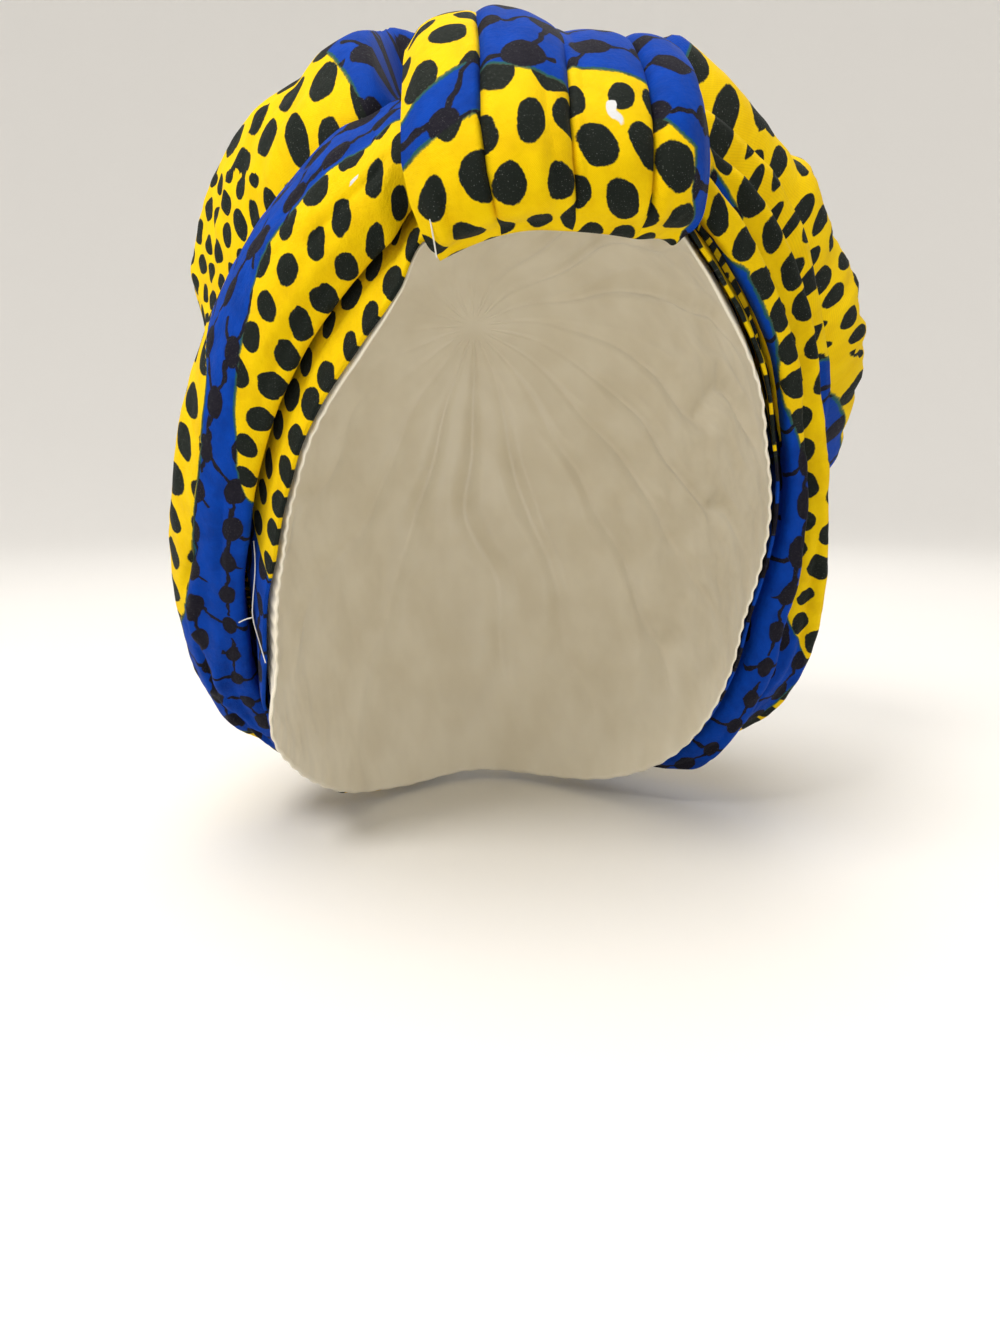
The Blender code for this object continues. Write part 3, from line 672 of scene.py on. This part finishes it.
def band_cloth(steps, count):
    """The gathered band next to the face as a fine grid, with its print coordinates."""
    around = np.linspace(-180, 180, steps, endpoint=False)[:, None]
    share = np.linspace(0, 1, count)[None, :]
    puff = monotone(BAND_PUFF["share"], BAND_PUFF["puff"], share)
    s = BAND_EDGE_S + (round_ring(RIM, "seam_s", around) - BAND_EDGE_S) * share
    phi = np.broadcast_to(around, s.shape)
    gathered = round_ring(RIM, "puff", around)
    raised = gathered * puff * (0.82 + 0.3 * np.sin(np.radians(around * 44)) * smoothstep(gathered / 2))
    raised = raised + smoothstep(s / 4) * smoothstep((14 - s) / 6) * 0.25 * noise(phi * 1.6, s, 6, 21)
    points = place(phi, s, BAND_H + raised)
    x = running_length(points)[:, [3]] / MM * np.ones_like(s)
    inside = [
        np.minimum(phi - start - start_slant * s, end + end_slant * s - phi)
        for start, start_slant, end, end_slant in zip(*BAND_BLUE.values())
    ]
    left = phi > 0
    fields = {
        "px": x / np.where(left, BAND_PITCH_LEFT[0], BAND_PITCH_RIGHT[0]),
        "py": np.where(left, (s - 3.2) / BAND_PITCH_LEFT[1] + 0.5, s / BAND_PITCH_RIGHT[1]),
        "blue": np.max(inside, axis=0) * 1.7,
        "small": 0 * s,
    }
    return points, fields


def lining_cloth(steps, count):
    """The satin bag as a fine grid from the face edge to its pole, with soft folds that meet there."""
    around = np.linspace(-180, 180, steps, endpoint=False)
    start = tau_at(around, round_ring(RIM, "lining_s", around))
    phi, tau = ring_to_pole(around, start, count, even=0.45)
    back = distance_back(phi, tau)
    x, y = flat_map(phi, tau)
    flare = round_ring(RIM, "flare", phi) * smoothstep(-back / LINING_FLARE_S)
    front = smoothstep((48 - np.abs(phi)) / 10)
    turn = np.radians(phi * 9) + 1.7 * noise(x, y, 52, 31) + 0.6 * noise(x, y, 24, 34)
    folds = (1 - np.abs(np.sin(turn))) ** 1.7 * (0.75 + 0.5 * noise(x, y, 60, 35))
    depth = smoothstep((back - 4) / 34) * (1 - 0.85 * smoothstep((back - 96) / 66))
    inward = (LINING_FOLD_DEPTH * folds + ripples(x, y, LINING_RIPPLES)) * depth
    gathered = smoothstep((-back + 6) / 6) * 0.25 * np.sin(np.radians(phi * 90)) * (1 - front)
    height = LINING_H + flare - np.abs(inward) * (1 - front * smoothstep((20 - back) / 8)) + gathered
    return place_tau(phi, tau, height), {"px": x / 10, "py": y / 10}


def loop_columns(per_pleat):
    """Shares of the loop's width, close together where a pleat starts."""
    starts = np.append(LOOP_PLEATS["start"], 1.0)
    spread = np.linspace(0, 1, per_pleat, endpoint=False)
    spread = spread - 0.9 * np.sin(2 * np.pi * spread) / (2 * np.pi)
    return np.append(np.concatenate([a + (b - a) * spread for a, b in zip(starts, starts[1:])]), 1.0)


LOOP_CREASES = table(
    "x0 y0 x1 y1 width height",
    (17.3, 8, 17.3, 76, 0.8, -1.7),
    (36, 8, 36, 60, 0.9, -1.8),
    (54.5, 6, 54.5, 96, 0.8, -1.7),
    (8, 6, 6.5, 34, 1.6, -1.3),
    (4.5, 8, 5, 30, 1.5, 0.9),
    (27, 6, 28.5, 34, 2, 0.8),
    (31.5, 18, 30, 46, 1.5, -0.8),
    (44, 6, 46.5, 30, 2.2, -0.7),
    (60.5, 6, 59, 28, 1.7, -1.1),
    (65.5, 6, 65, 26, 1.5, 0.9),
    (22, 42, 24.5, 74, 2.4, -0.6),
    (12.5, 2, 14, 17, 1.3, 1.3),
    (19.5, 2, 21, 15, 1.2, 1.6),
    (24, 2, 24, 12, 1.1, -1),
    (33, 2, 32, 17, 1.3, 1.5),
    (39.5, 2, 38, 14, 1.2, 1.7),
    (50.5, 2, 51, 14, 1.2, -1.1),
    (57, 2, 57.5, 16, 1.3, 1.5),
    (67.5, 2, 66.5, 15, 1.1, 1.4),
)
LOOP_WIDTH = 70.0
# Where the blue starts on each pleat of the loop, in millimetres along it: at its left side, and the change
# to its right side. The first pleat is blue from the first row to the second, and again from the third on.
LOOP_BLUE = ((34.5, 3.5), (43, 5), (90, 0), (45.5, -4), (48, -3), (38.5, -10))
# The blue at the loop's right edge starts at this share of its width, and narrows by this much per millimetre
# below the height given.
LOOP_EDGE_BLUE = (0.905, 0.008, 26)
# How far the print is moved along on each pleat, in millimetres.
LOOP_SLIDE = (2.0, 4.6, 8.2, 1.0)
LOOP_CHIP_AT = (45.0, 37.5)


def loop_cloth(per_pleat, rows):
    """The pleated loop above the forehead as a fine grid, with its print coordinates."""
    share = loop_columns(per_pleat)[:, None]
    path = np.stack([LOOP_PATH["s"], LOOP_PATH["h"]], axis=-1)
    curve = smooth_section(path, rows)
    length = running_length(path)
    along = np.linspace(0, length[-1], rows)
    drop, edge_drop, left, right = (
        np.interp(along, length, LOOP_PATH[name]) for name in ("side_drop", "edge_drop", "left", "right")
    )
    tangent = np.gradient(curve, axis=0)
    outward = np.stack([-tangent[:, 1], tangent[:, 0]], axis=-1)
    outward /= np.linalg.norm(outward, axis=1)[:, None]
    tail = smoothstep((LOOP_PATH["s"][-1] - curve[:, 0]) / LOOP_TAIL)
    outside = smoothstep((curve[:, 1] - 1) / 8) * tail
    side = 1 - smoothstep(np.minimum(share, 1 - share) / LOOP_EDGE_TURN)
    sides = drop * np.abs(2 * share - 1) ** 2 + edge_drop * side
    across = share * LOOP_WIDTH
    fine = ridges(across, along[None, :], LOOP_CREASES) + ripples(across, along, LOOP_RIPPLES)
    raised = outside * (pleat_height(share) - sides + fine * smoothstep((along - 6) / 5))
    s = curve[:, 0] + outward[:, 0] * raised
    h = curve[:, 1] + outward[:, 1] * raised
    tau = tau_at(0.0, s)
    reach = (lining_reach(np.zeros(s.shape), tau) + h) * np.sin(np.radians(tau))
    phi = np.degrees((left + (right - left) * share) / reach)
    front = smoothstep((LOOP_LEAN_FADES - s) / LOOP_LEAN_FADES)
    lean = LOOP_LEAN[1] + (LOOP_LEAN[0] - LOOP_LEAN[1]) * front
    lean = lean * (round_ring(RIM, "tau", phi) - round_ring(RIM, "tau", 0.0))
    points = place_tau(phi, tau + lean, h)

    v = np.broadcast_to(along, s.shape)
    starts = np.append(LOOP_PLEATS["start"], 1.0)
    pleat = np.clip(np.searchsorted(LOOP_PLEATS["start"], share, side="right") - 1, 0, 3)
    t = (share - starts[pleat]) / (starts[pleat + 1] - starts[pleat])
    first, first_end, again, second, third, fourth = (v - start - change * t for start, change in LOOP_BLUE)
    first = np.maximum(np.minimum(first, -first_end), again)
    edge_share, narrows, below = LOOP_EDGE_BLUE
    edge = edge_share + narrows * np.maximum(below - v, 0)
    fourth = np.maximum(fourth, (share - edge) * LOOP_WIDTH)
    slide = np.array(LOOP_SLIDE)[pleat]
    chip_x, chip_y = across - LOOP_CHIP_AT[0], v - LOOP_CHIP_AT[1]
    fields = {
        "chip": noise(across, v, 1.3, 43) * 0.9 + 1.5 - np.hypot(chip_x * 1.2 + chip_y * 0.5, chip_y * 0.75),
        "px": (across + slide * 1.7) / LOOP_PITCH[0] * np.ones_like(v),
        "py": (v + slide) / LOOP_PITCH[1],
        "blue": np.choose(np.broadcast_to(pleat, s.shape), [first, second, third, fourth]),
        "small": 0 * v,
    }
    return points, fields


def add_object(name, data):
    piece = bpy.data.objects.new(name, data)
    bpy.context.collection.objects.link(piece)
    return piece


def cloth_piece(name, replaced, points, fields, wall, material, slot, ring=False, pole=False):
    """A thin closed wall from a grid of its middle surface, which carries its print coordinates."""
    n, m = points.shape[:2]
    verts = points.reshape(-1, 3)
    fields = {"chip": np.full((n, m), -9.0), **fields}
    values = {key: np.broadcast_to(field, (n, m)).reshape(-1) for key, field in fields.items()}
    index = np.arange(n * m).reshape(n, m)
    nxt = np.roll(index, -1, axis=0) if ring else index[1:]
    now = index if ring else index[:-1]
    quads = np.stack([now[:, :-1], nxt[:, :-1], nxt[:, 1:], now[:, 1:]], axis=-1).reshape(-1, 4)
    faces = [tuple(q) for q in quads.tolist()]
    if pole:
        verts = np.vstack([verts, points[:, -1].mean(axis=0)])
        values = {key: np.append(v, v.reshape(n, m)[:, -1].mean()) for key, v in values.items()}
        top = n * m
        faces += [(int(a), int(b), top) for a, b in zip(now[:, -1], nxt[:, -1])]
    mesh = bpy.data.meshes.new(name)
    mesh.from_pydata(verts.tolist(), [], faces)
    for key, v in values.items():
        mesh.attributes.new(key, "FLOAT", "POINT").data.foreach_set("value", v.astype(np.float32))
    mesh.shade_smooth()
    mesh.materials.append(material)
    piece = add_object(name, mesh)
    solid = piece.modifiers.new("wall", "SOLIDIFY")
    solid.thickness = wall * MM
    solid.offset = 0.0
    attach(piece, "root")
    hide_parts(replaced)
    return piece


class Nodes:
    """Short calls that add and join nodes of one material."""

    def __init__(self, name):
        self.material = bpy.data.materials.new(name)
        self.material.use_nodes = True
        self.tree = self.material.node_tree
        self.surface = self.tree.nodes["Principled BSDF"]

    def put(self, socket, value):
        """Sets a socket to a value, or joins it to another socket."""
        if isinstance(value, bpy.types.NodeSocket):
            self.tree.links.new(value, socket)
        else:
            socket.default_value = value

    def node(self, kind, inputs):
        """A new node of this kind, with its inputs, by name or number, set or joined."""
        node = self.tree.nodes.new("ShaderNode" + kind)
        for name, value in inputs.items():
            self.put(node.inputs[name], value)
        return node

    def look(self, inputs):
        """Sets or joins inputs of the material's surface."""
        for name, value in inputs.items():
            self.put(self.surface.inputs[name], value)

    def math(self, operation, *values):
        """A math node on numbers or sockets."""
        node = self.node("Math", dict(enumerate(values)))
        node.operation = operation
        return node.outputs[0]

    def add(self, a, b):
        return self.math("ADD", a, b)

    def sub(self, a, b):
        return self.math("SUBTRACT", a, b)

    def mul(self, a, b):
        return self.math("MULTIPLY", a, b)

    def mul_add(self, a, b, c):
        """a times b, plus c."""
        return self.math("MULTIPLY_ADD", a, b, c)

    def field(self, name):
        """The number that a cloth carries at each point under this name."""
        node = self.node("Attribute", {})
        node.attribute_type = "GEOMETRY"
        node.attribute_name = name
        return node.outputs["Fac"]

    def vector(self, x, y):
        """Two numbers or sockets as one place."""
        return self.node("CombineXYZ", {0: x, 1: y}).outputs[0]

    def noise(self, vector, scale, detail=2.0, rough=0.5):
        """A noise texture's node."""
        return self.node("TexNoise", {"Vector": vector, "Scale": scale, "Detail": detail, "Roughness": rough})

    def step(self, value, low, high):
        """0 below low, 1 above high, smooth between."""
        node = self.node("MapRange", {"Value": value, "From Min": low, "From Max": high})
        node.interpolation_type = "SMOOTHSTEP"
        return node.outputs[0]

    def mix(self, share, a, b, blend="MIX"):
        """Colour a, or b where share is 1."""
        node = self.tree.nodes.new("ShaderNodeMix")
        node.data_type = "RGBA"
        node.blend_type = blend
        for k, value in ((0, share), (6, a), (7, b)):
            self.put(node.inputs[k], value)
        return node.outputs[2]

    def bump(self, height, strength, distance, normal=None):
        """The normal that a height gives."""
        node = self.node("Bump", {"Strength": strength, "Distance": distance, "Height": height})
        if normal is not None:
            self.put(node.inputs["Normal"], normal)
        return node.outputs[0]

    def cell(self, x, y):
        """Staggered cells: the place inside one, from -0.5 to 0.5, and a random colour's channels."""
        row = self.math("FLOOR", y)
        shift = self.mul(self.math("FLOORED_MODULO", row, 2.0), 0.5)
        moved = self.add(x, shift)
        column = self.math("FLOOR", moved)
        random = self.node("TexWhiteNoise", {"Vector": self.vector(column, row)})
        random.noise_dimensions = "2D"
        split = self.node("SeparateColor", {0: random.outputs["Color"]})
        inside_x = self.sub(self.sub(moved, column), 0.5)
        inside_y = self.sub(self.sub(y, row), 0.5)
        return inside_x, inside_y, split.outputs

    def spot(self, x, y, rx, ry, jitter, vary, edge):
        """Round blots in staggered cells, each a little off its middle and of its own size: 1 inside."""
        fx, fy, random = self.cell(x, y)
        jx = self.mul(self.sub(random[0], 0.5), jitter)
        jy = self.mul(self.sub(random[1], 0.5), jitter)
        grow = self.mul_add(random[2], vary, 1.0 - vary / 2)
        tilt = self.mul(self.sub(random[2], 0.4), 0.5)
        dx = self.sub(fx, jx)
        dy = self.sub(fy, jy)
        dx = self.math("DIVIDE", self.mul_add(dy, tilt, dx), rx)
        dy = self.math("DIVIDE", dy, ry)
        square = self.mul_add(dx, dx, self.mul(dy, dy))
        far = self.math("SQRT", square)
        return self.add(self.sub(grow, far), edge), fx, fy


YELLOW = (0.88, 0.60, 0.0, 1.0)
YELLOW_DEEP = (0.78, 0.50, 0.0, 1.0)
BLUE = (0.0, 0.052, 0.40, 1.0)
BLUE_DEEP = (0.0, 0.036, 0.28, 1.0)
INK = (0.011, 0.015, 0.012, 1.0)
TWIG_INK = (0.010, 0.009, 0.016, 1.0)
EDGE_GREEN = (0.02, 0.10, 0.05, 1.0)
LINT = (0.32, 0.34, 0.33, 1.0)
CHIPPED = (0.72, 0.73, 0.74, 1.0)
# Painted shade between the weave's threads: the print is multiplied darker where the thread pattern dips.
WEAVE_PAINTED_SHADE = (0.82, 0.82, 0.82, 1.0)
WEAVE_HIGH = (1.0, 1.0, 1.0, 1.0)
THREADS_PER_CELL = 26.0
# Radii in cells of the print, and how many small cells go into a big one.
BIG_DOT = (0.355, 0.385)
SMALL_DOT = (0.36, 0.40)
SMALL_CELLS = 1.65
BUD = (0.31, 0.25)
TWIG_CELLS = (0.72, 0.78)
STEM = (0.045, 0.064)
DRIFT = 0.34
EDGE_ROUGHNESS = 0.16


def wax_print():
    """Printed cotton: dots on yellow, twigs with buds on blue, a thin green line where they meet."""
    n = Nodes("wax_print_cotton")
    x, y, blue, small, chip = (n.field(name) for name in ("px", "py", "blue", "small", "chip"))
    cell_place = n.vector(x, y)
    drift = n.noise(cell_place, 0.9, 2.0)
    split = n.node("SeparateColor", {0: drift.outputs["Color"]})
    wx = n.mul_add(split.outputs[0], DRIFT, x)
    wy = n.mul_add(split.outputs[1], DRIFT, y)
    rough_edge = n.noise(cell_place, 14.0, 3.0, 0.6).outputs["Fac"]
    edge = n.mul(n.sub(rough_edge, 0.5), EDGE_ROUGHNESS)

    big, _, _ = n.spot(wx, wy, *BIG_DOT, 0.18, 0.26, edge)
    fx, fy = n.mul(wx, SMALL_CELLS), n.mul(wy, SMALL_CELLS)
    little, _, _ = n.spot(fx, fy, *SMALL_DOT, 0.14, 0.25, edge)
    big = n.mul(big, n.sub(1.0, small))
    dots = n.step(n.mul_add(little, small, big), -0.035, 0.045)

    tx, ty = n.mul(wx, TWIG_CELLS[0]), n.mul(wy, TWIG_CELLS[1])
    buds, gx, gy = n.spot(tx, ty, *BUD, 0.0, 0.35, edge)
    lines = n.noise(cell_place, 2.4, 1.0).outputs["Fac"]
    bend = n.mul(n.sub(lines, 0.5), 0.30)
    chain = n.math("ABSOLUTE", n.add(gy, bend))
    branch = n.mul_add(bend, 0.6, n.mul_add(gy, -0.5, gx))
    branch = n.math("ABSOLUTE", branch)
    gate = n.noise(cell_place, 0.55, 0.0).outputs["Fac"]
    branch = n.add(branch, n.step(gate, 0.50, 0.56))
    chain = n.add(chain, n.step(gate, 0.40, 0.36))
    stems = n.sub(n.math("MINIMUM", chain, branch), n.mul(edge, 0.25))
    stems = n.sub(1.0, n.step(stems, *STEM))
    twigs = n.math("MAXIMUM", n.step(buds, -0.035, 0.05), stems)

    wobble = n.mul_add(n.sub(rough_edge, 0.5), 0.9, blue)
    on_blue = n.step(wobble, -0.2, 0.2)
    line = n.sub(1.0, n.step(n.math("ABSOLUTE", n.sub(wobble, 0.1)), 0.25, 0.65))

    shade = n.noise(cell_place, 1.4, 4.0, 0.6).outputs["Fac"]
    yellow = n.mix(n.step(shade, 0.35, 0.75), YELLOW, YELLOW_DEEP)
    dye = n.mix(n.step(shade, 0.3, 0.75), BLUE, BLUE_DEEP)
    ground = n.mix(on_blue, yellow, dye)
    ground = n.mix(n.mul(line, 0.85), ground, EDGE_GREEN)
    speck = n.noise(cell_place, 34.0, 1.0).outputs["Fac"]
    worn = n.mul(n.step(speck, 0.66, 0.74), 0.30)
    ink = n.mix(worn, n.mix(on_blue, INK, TWIG_INK), LINT)
    inked = n.mix(on_blue, dots, twigs)
    colour = n.mix(inked, ground, ink)
    colour = n.mix(n.step(chip, 0.0, 0.35), colour, CHIPPED)

    threads_x = n.math("SINE", n.mul(x, 2 * math.pi * THREADS_PER_CELL))
    threads_y = n.math("SINE", n.mul(y, 2 * math.pi * THREADS_PER_CELL))
    weave = n.mul(threads_x, threads_y)
    slub = n.noise(cell_place, 9.0, 4.0, 0.65).outputs["Fac"]
    # Painted shade: the colour is multiplied darker where the crossing threads dip, the same pattern that
    # bumps the weave.
    weave_painted_shade = n.mix(n.step(weave, -0.9, 0.2), WEAVE_PAINTED_SHADE, WEAVE_HIGH)
    n.look({
        "Base Color": n.mix(0.6, colour, weave_painted_shade, "MULTIPLY"),
        "Roughness": n.mul_add(slub, 0.18, 0.62),
        "Sheen Weight": 0.015,
        "Sheen Roughness": 0.5,
        "Specular IOR Level": 0.07,
        "Normal": n.bump(slub, 0.5, 0.0006, n.bump(weave, 0.22, 0.00012)),
    })
    return n.material


SATIN = (0.90, 0.84, 0.69, 1.0)
# Painted shade: a darker satin laid along the crease noise that also bumps the satin.
SATIN_PAINTED_SHADE = (0.82, 0.75, 0.59, 1.0)
# Painted sheen: a lighter satin laid along the long floats.
SATIN_PAINTED_SHEEN = (0.95, 0.90, 0.78, 1.0)
THREAD_DARK = (0.62, 0.60, 0.55, 1.0)
THREAD_LIGHT = (0.85, 0.84, 0.80, 1.0)
FLOOR_COLOUR = (0.88, 0.87, 0.85, 1.0)
SKY_COLOUR = (0.95, 0.93, 0.90, 1.0)
SKY_STRENGTH = 0.5


def satin():
    """Ivory satin: long floats that catch the light, painted lighter along them as a painted sheen, and a
    faint crease pattern painted darker along it as painted shade.
    """
    n = Nodes("ivory_satin")
    x, y = n.field("px"), n.field("py")
    place_on = n.vector(x, y)
    stretched = n.vector(n.mul(x, 9.0), n.mul(y, 0.9))
    floats = n.noise(stretched, 6.0, 3.0, 0.6).outputs["Fac"]
    crease = n.noise(place_on, 0.5, 2.0, 0.45).outputs["Fac"]
    # Painted shade: darker satin mixed in along the crease noise.
    colour = n.mix(n.step(crease, 0.3, 0.7), SATIN, SATIN_PAINTED_SHADE)
    n.look({
        # Painted sheen: lighter satin mixed in along the floats.
        "Base Color": n.mix(n.mul(floats, 0.3), colour, SATIN_PAINTED_SHEEN),
        "Roughness": n.mul_add(floats, 0.16, 0.26),
        "Anisotropic": 0.5,
        "Sheen Weight": 0.2,
        "Normal": n.bump(crease, 0.5, 0.004, n.bump(floats, 0.12, 0.00015)),
    })
    return n.material


def thread_material():
    """White sewing thread, a little uneven."""
    n = Nodes("white_thread")
    twist = n.noise(n.node("TexCoord", {}).outputs["Object"], 900.0, 2.0).outputs["Fac"]
    n.look({"Base Color": n.mix(twist, THREAD_DARK, THREAD_LIGHT), "Roughness": 0.8})
    return n.material


def floor_material():
    """Plain pale matte floor."""
    n = Nodes("plain_floor")
    n.look({"Base Color": FLOOR_COLOUR, "Roughness": 0.9})
    return n.material


# Name, place, what it points at, size in metres, power in watts and colour.
LIGHTS = (
    ("key", (-0.60, -0.55, 0.85), (0.0, 0.0, -0.06), 0.45, 9.0, (1.0, 0.96, 0.90)),
    ("fill", (0.9, -0.6, 0.25), (0.0, 0.0, -0.08), 0.9, 0.8, (1.0, 0.97, 0.94)),
    ("back", (0.4, 0.9, 0.7), (0.0, 0.0, -0.05), 0.7, 2.0, (1.0, 0.98, 0.95)),
    ("overhead", (-0.3, -0.2, 2.5), (0.0, 0.0, 0.0), 2.0, 40.0, (1.0, 0.98, 0.96)),
)


def area_light(name, place_at, target, size, power, colour):
    """One round area light that points at its target."""
    light = bpy.data.lights.new(name, "AREA")
    light.shape = "DISK"
    light.size = size
    light.energy = power
    light.color = colour
    lamp = add_object(name, light)
    lamp.location = place_at
    lamp.rotation_mode = "QUATERNION"
    lamp.rotation_quaternion = (Vector(target) - Vector(place_at)).to_track_quat("-Z", "Y")


CAMERA_AT = (-0.0405, -0.3073, -0.085)
CAMERA_AZIMUTH = -7.5
CAMERA_PITCH = 12.0
SENSOR = 36.0
PHOTO_FOCAL = 963.0 / 1333.0  # focal length as a share of the frame's height


def camera():
    """The photograph's viewing angle."""
    data = bpy.data.cameras.new("camera")
    data.sensor_fit = "VERTICAL"
    data.sensor_height = SENSOR
    data.lens = SENSOR * PHOTO_FOCAL
    data.clip_start = 0.01
    data.clip_end = 50.0
    azimuth, pitch = math.radians(CAMERA_AZIMUTH), math.radians(CAMERA_PITCH)
    level = Vector((-math.sin(azimuth), math.cos(azimuth), 0.0))
    right = Vector((math.cos(azimuth), math.sin(azimuth), 0.0))
    ahead = level * math.cos(pitch) - Vector((0.0, 0.0, math.sin(pitch)))
    up = right.cross(ahead)
    eye = add_object("camera", data)
    eye.matrix_world = Matrix.Translation(CAMERA_AT) @ Matrix((right, up, -ahead)).transposed().to_4x4()
    bpy.context.scene.camera = eye


FLOOR_Z = -0.2135
FLOOR_FLAT = 1.4  # radius of the flat part, and of the curve up to the wall
FLOOR_AROUND = 64
DOME = ((2.8, 2.6), (2.2, 3.6), (0.8, 4.0))


def floor():
    """A round pale floor that curves up into a wall all the way round."""
    mesh = bpy.data.meshes.new("floor")
    rise = [math.radians(a) for a in range(0, 91, 6)]
    line = [(0.4, FLOOR_Z)]
    line += [(FLOOR_FLAT * (1 + math.sin(a)), FLOOR_Z + FLOOR_FLAT * (1 - math.cos(a))) for a in rise]
    line += DOME
    turns = [2 * math.pi * k / FLOOR_AROUND for k in range(FLOOR_AROUND)]
    pairs = [(k, (k + 1) % FLOOR_AROUND) for k in range(FLOOR_AROUND)]
    verts = [(0.0, 0.0, FLOOR_Z)]
    for radius, z in line:
        verts += [(radius * math.cos(a), radius * math.sin(a), z) for a in turns]
    faces = [(0, 1 + k, 1 + after) for k, after in pairs]
    for i in range(len(line) - 1):
        low, high = 1 + i * FLOOR_AROUND, 1 + (i + 1) * FLOOR_AROUND
        faces += [(low + k, high + k, high + after, low + after) for k, after in pairs]
    mesh.from_pydata(verts, [], faces)
    mesh.shade_smooth()
    mesh.materials.append(floor_material())
    add_object("floor", mesh)


def world():
    """A plain pale light from all sides."""
    bpy.context.scene.view_settings.view_transform = "Standard"
    sky = bpy.data.worlds.new("studio")
    sky.use_nodes = True
    background = sky.node_tree.nodes["Background"]
    background.inputs["Color"].default_value = SKY_COLOUR
    background.inputs["Strength"].default_value = SKY_STRENGTH
    bpy.context.scene.world = sky


# The loose threads' lines, in millimetres. The first leaves the face edge, and the second forks from it.
THREADS = {
    "loose_thread": (
        (-74, -25.5, -107),
        (-73.6, -25.6, -113),
        (-75.6, -21, -124),
        (-76.4, -19, -130),
        (-74.8, -18.5, -137),
        (-73, -20.5, -143.5),
    ),
    "loose_thread_fork": ((-76.4, -19.0, -130.0), (-78.3, -18.0, -130.4), (-80.6, -16.5, -131.8)),
    "loose_thread_front": ((-26.4, -85.0, -34.0), (-25.6, -84.6, -38.0), (-24.8, -81.0, -41.0)),
}


def thread(name, points, material):
    """A loose thread as a thin round tube along a smooth curve."""
    data = bpy.data.curves.new(name, "CURVE")
    data.dimensions = "3D"
    data.bevel_depth = THREAD_RADIUS
    data.bevel_resolution = 2
    spline = data.splines.new("NURBS")
    spline.points.add(len(points) - 1)
    for point, at in zip(spline.points, points):
        point.co = (*at, 1.0)
    spline.use_endpoint_u = True
    spline.order_u = 3
    spline.resolution_u = 8
    data.materials.append(material)
    piece = add_object(name, data)
    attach(piece, "root")
    return piece


def spread(points, ring):
    """Width, length and area of a grid, in metres: its longest row, its longest column and its surface."""
    closed = np.concatenate([points, points[:1]]) if ring else points
    across = np.linalg.norm(np.diff(closed, axis=0), axis=-1).sum(axis=0).max()
    along = np.linalg.norm(np.diff(closed, axis=1), axis=-1).sum(axis=1).max()
    a, b, c, d = closed[:-1, :-1], closed[1:, :-1], closed[1:, 1:], closed[:-1, 1:]
    area = 0.5 * np.linalg.norm(np.cross(c - a, d - b), axis=-1).sum()
    return across, along, area


def main():
    """Sets the studio, dresses each solid with its cloth, and adds the loose threads and the lights."""
    camera()
    floor()
    world()
    cotton, ivory, white = wax_print(), (satin(), "lining_satin"), thread_material()
    printed, printed_blue = (cotton, "printed_cotton"), (cotton, "printed_cotton_blue")
    round_bag = {"ring": True, "pole": True}

    points, fields = lining_cloth(480, 80)
    lining = cloth_piece("lining_satin_bag", "lining", points, fields, SATIN_WALL, *ivory, **round_bag)

    points, fields = band_cloth(620, 34)
    band = cloth_piece("face_band_cloth", "face_band", points, fields, COTTON_WALL, *printed, ring=True)

    points, fields = crown_cloth(600, 80)
    crown = cloth_piece("crown_cloth", "crown", points, fields, COTTON_WALL, *printed, **round_bag)

    points, fields, phi, v = roll_cloth(
        RIGHT_ROLL, roll_section, 330, 130, ROLL_FOLDS, (), 1, ROLL_PITCH, ROLL_RIPPLES
    )
    fields.update(right_roll_print(fields, phi, v))
    roll = cloth_piece("right_roll_cloth", "right_roll", points, fields, COTTON_WALL, *printed_blue)

    points, fields, phi, v = roll_cloth(
        LEFT_PLEATS, pleat_section, 330, 140, PLEAT_FOLDS, PLEAT_CRESTS, -1, PLEAT_PITCH, PLEAT_RIPPLES
    )
    fields.update(left_pleats_print(phi, v))
    pleats = cloth_piece("left_pleats_cloth", "left_pleats", points, fields, COTTON_WALL, *printed_blue)

    points, fields = loop_cloth(44, 220)
    loop = cloth_piece("centre_loop_cloth", "centre_loop", points, fields, COTTON_WALL, *printed)

    long_thread, fork, _ = [thread(name, np.array(line) * MM, white) for name, line in THREADS.items()]

    for light in LIGHTS:
        area_light(*light)


main()
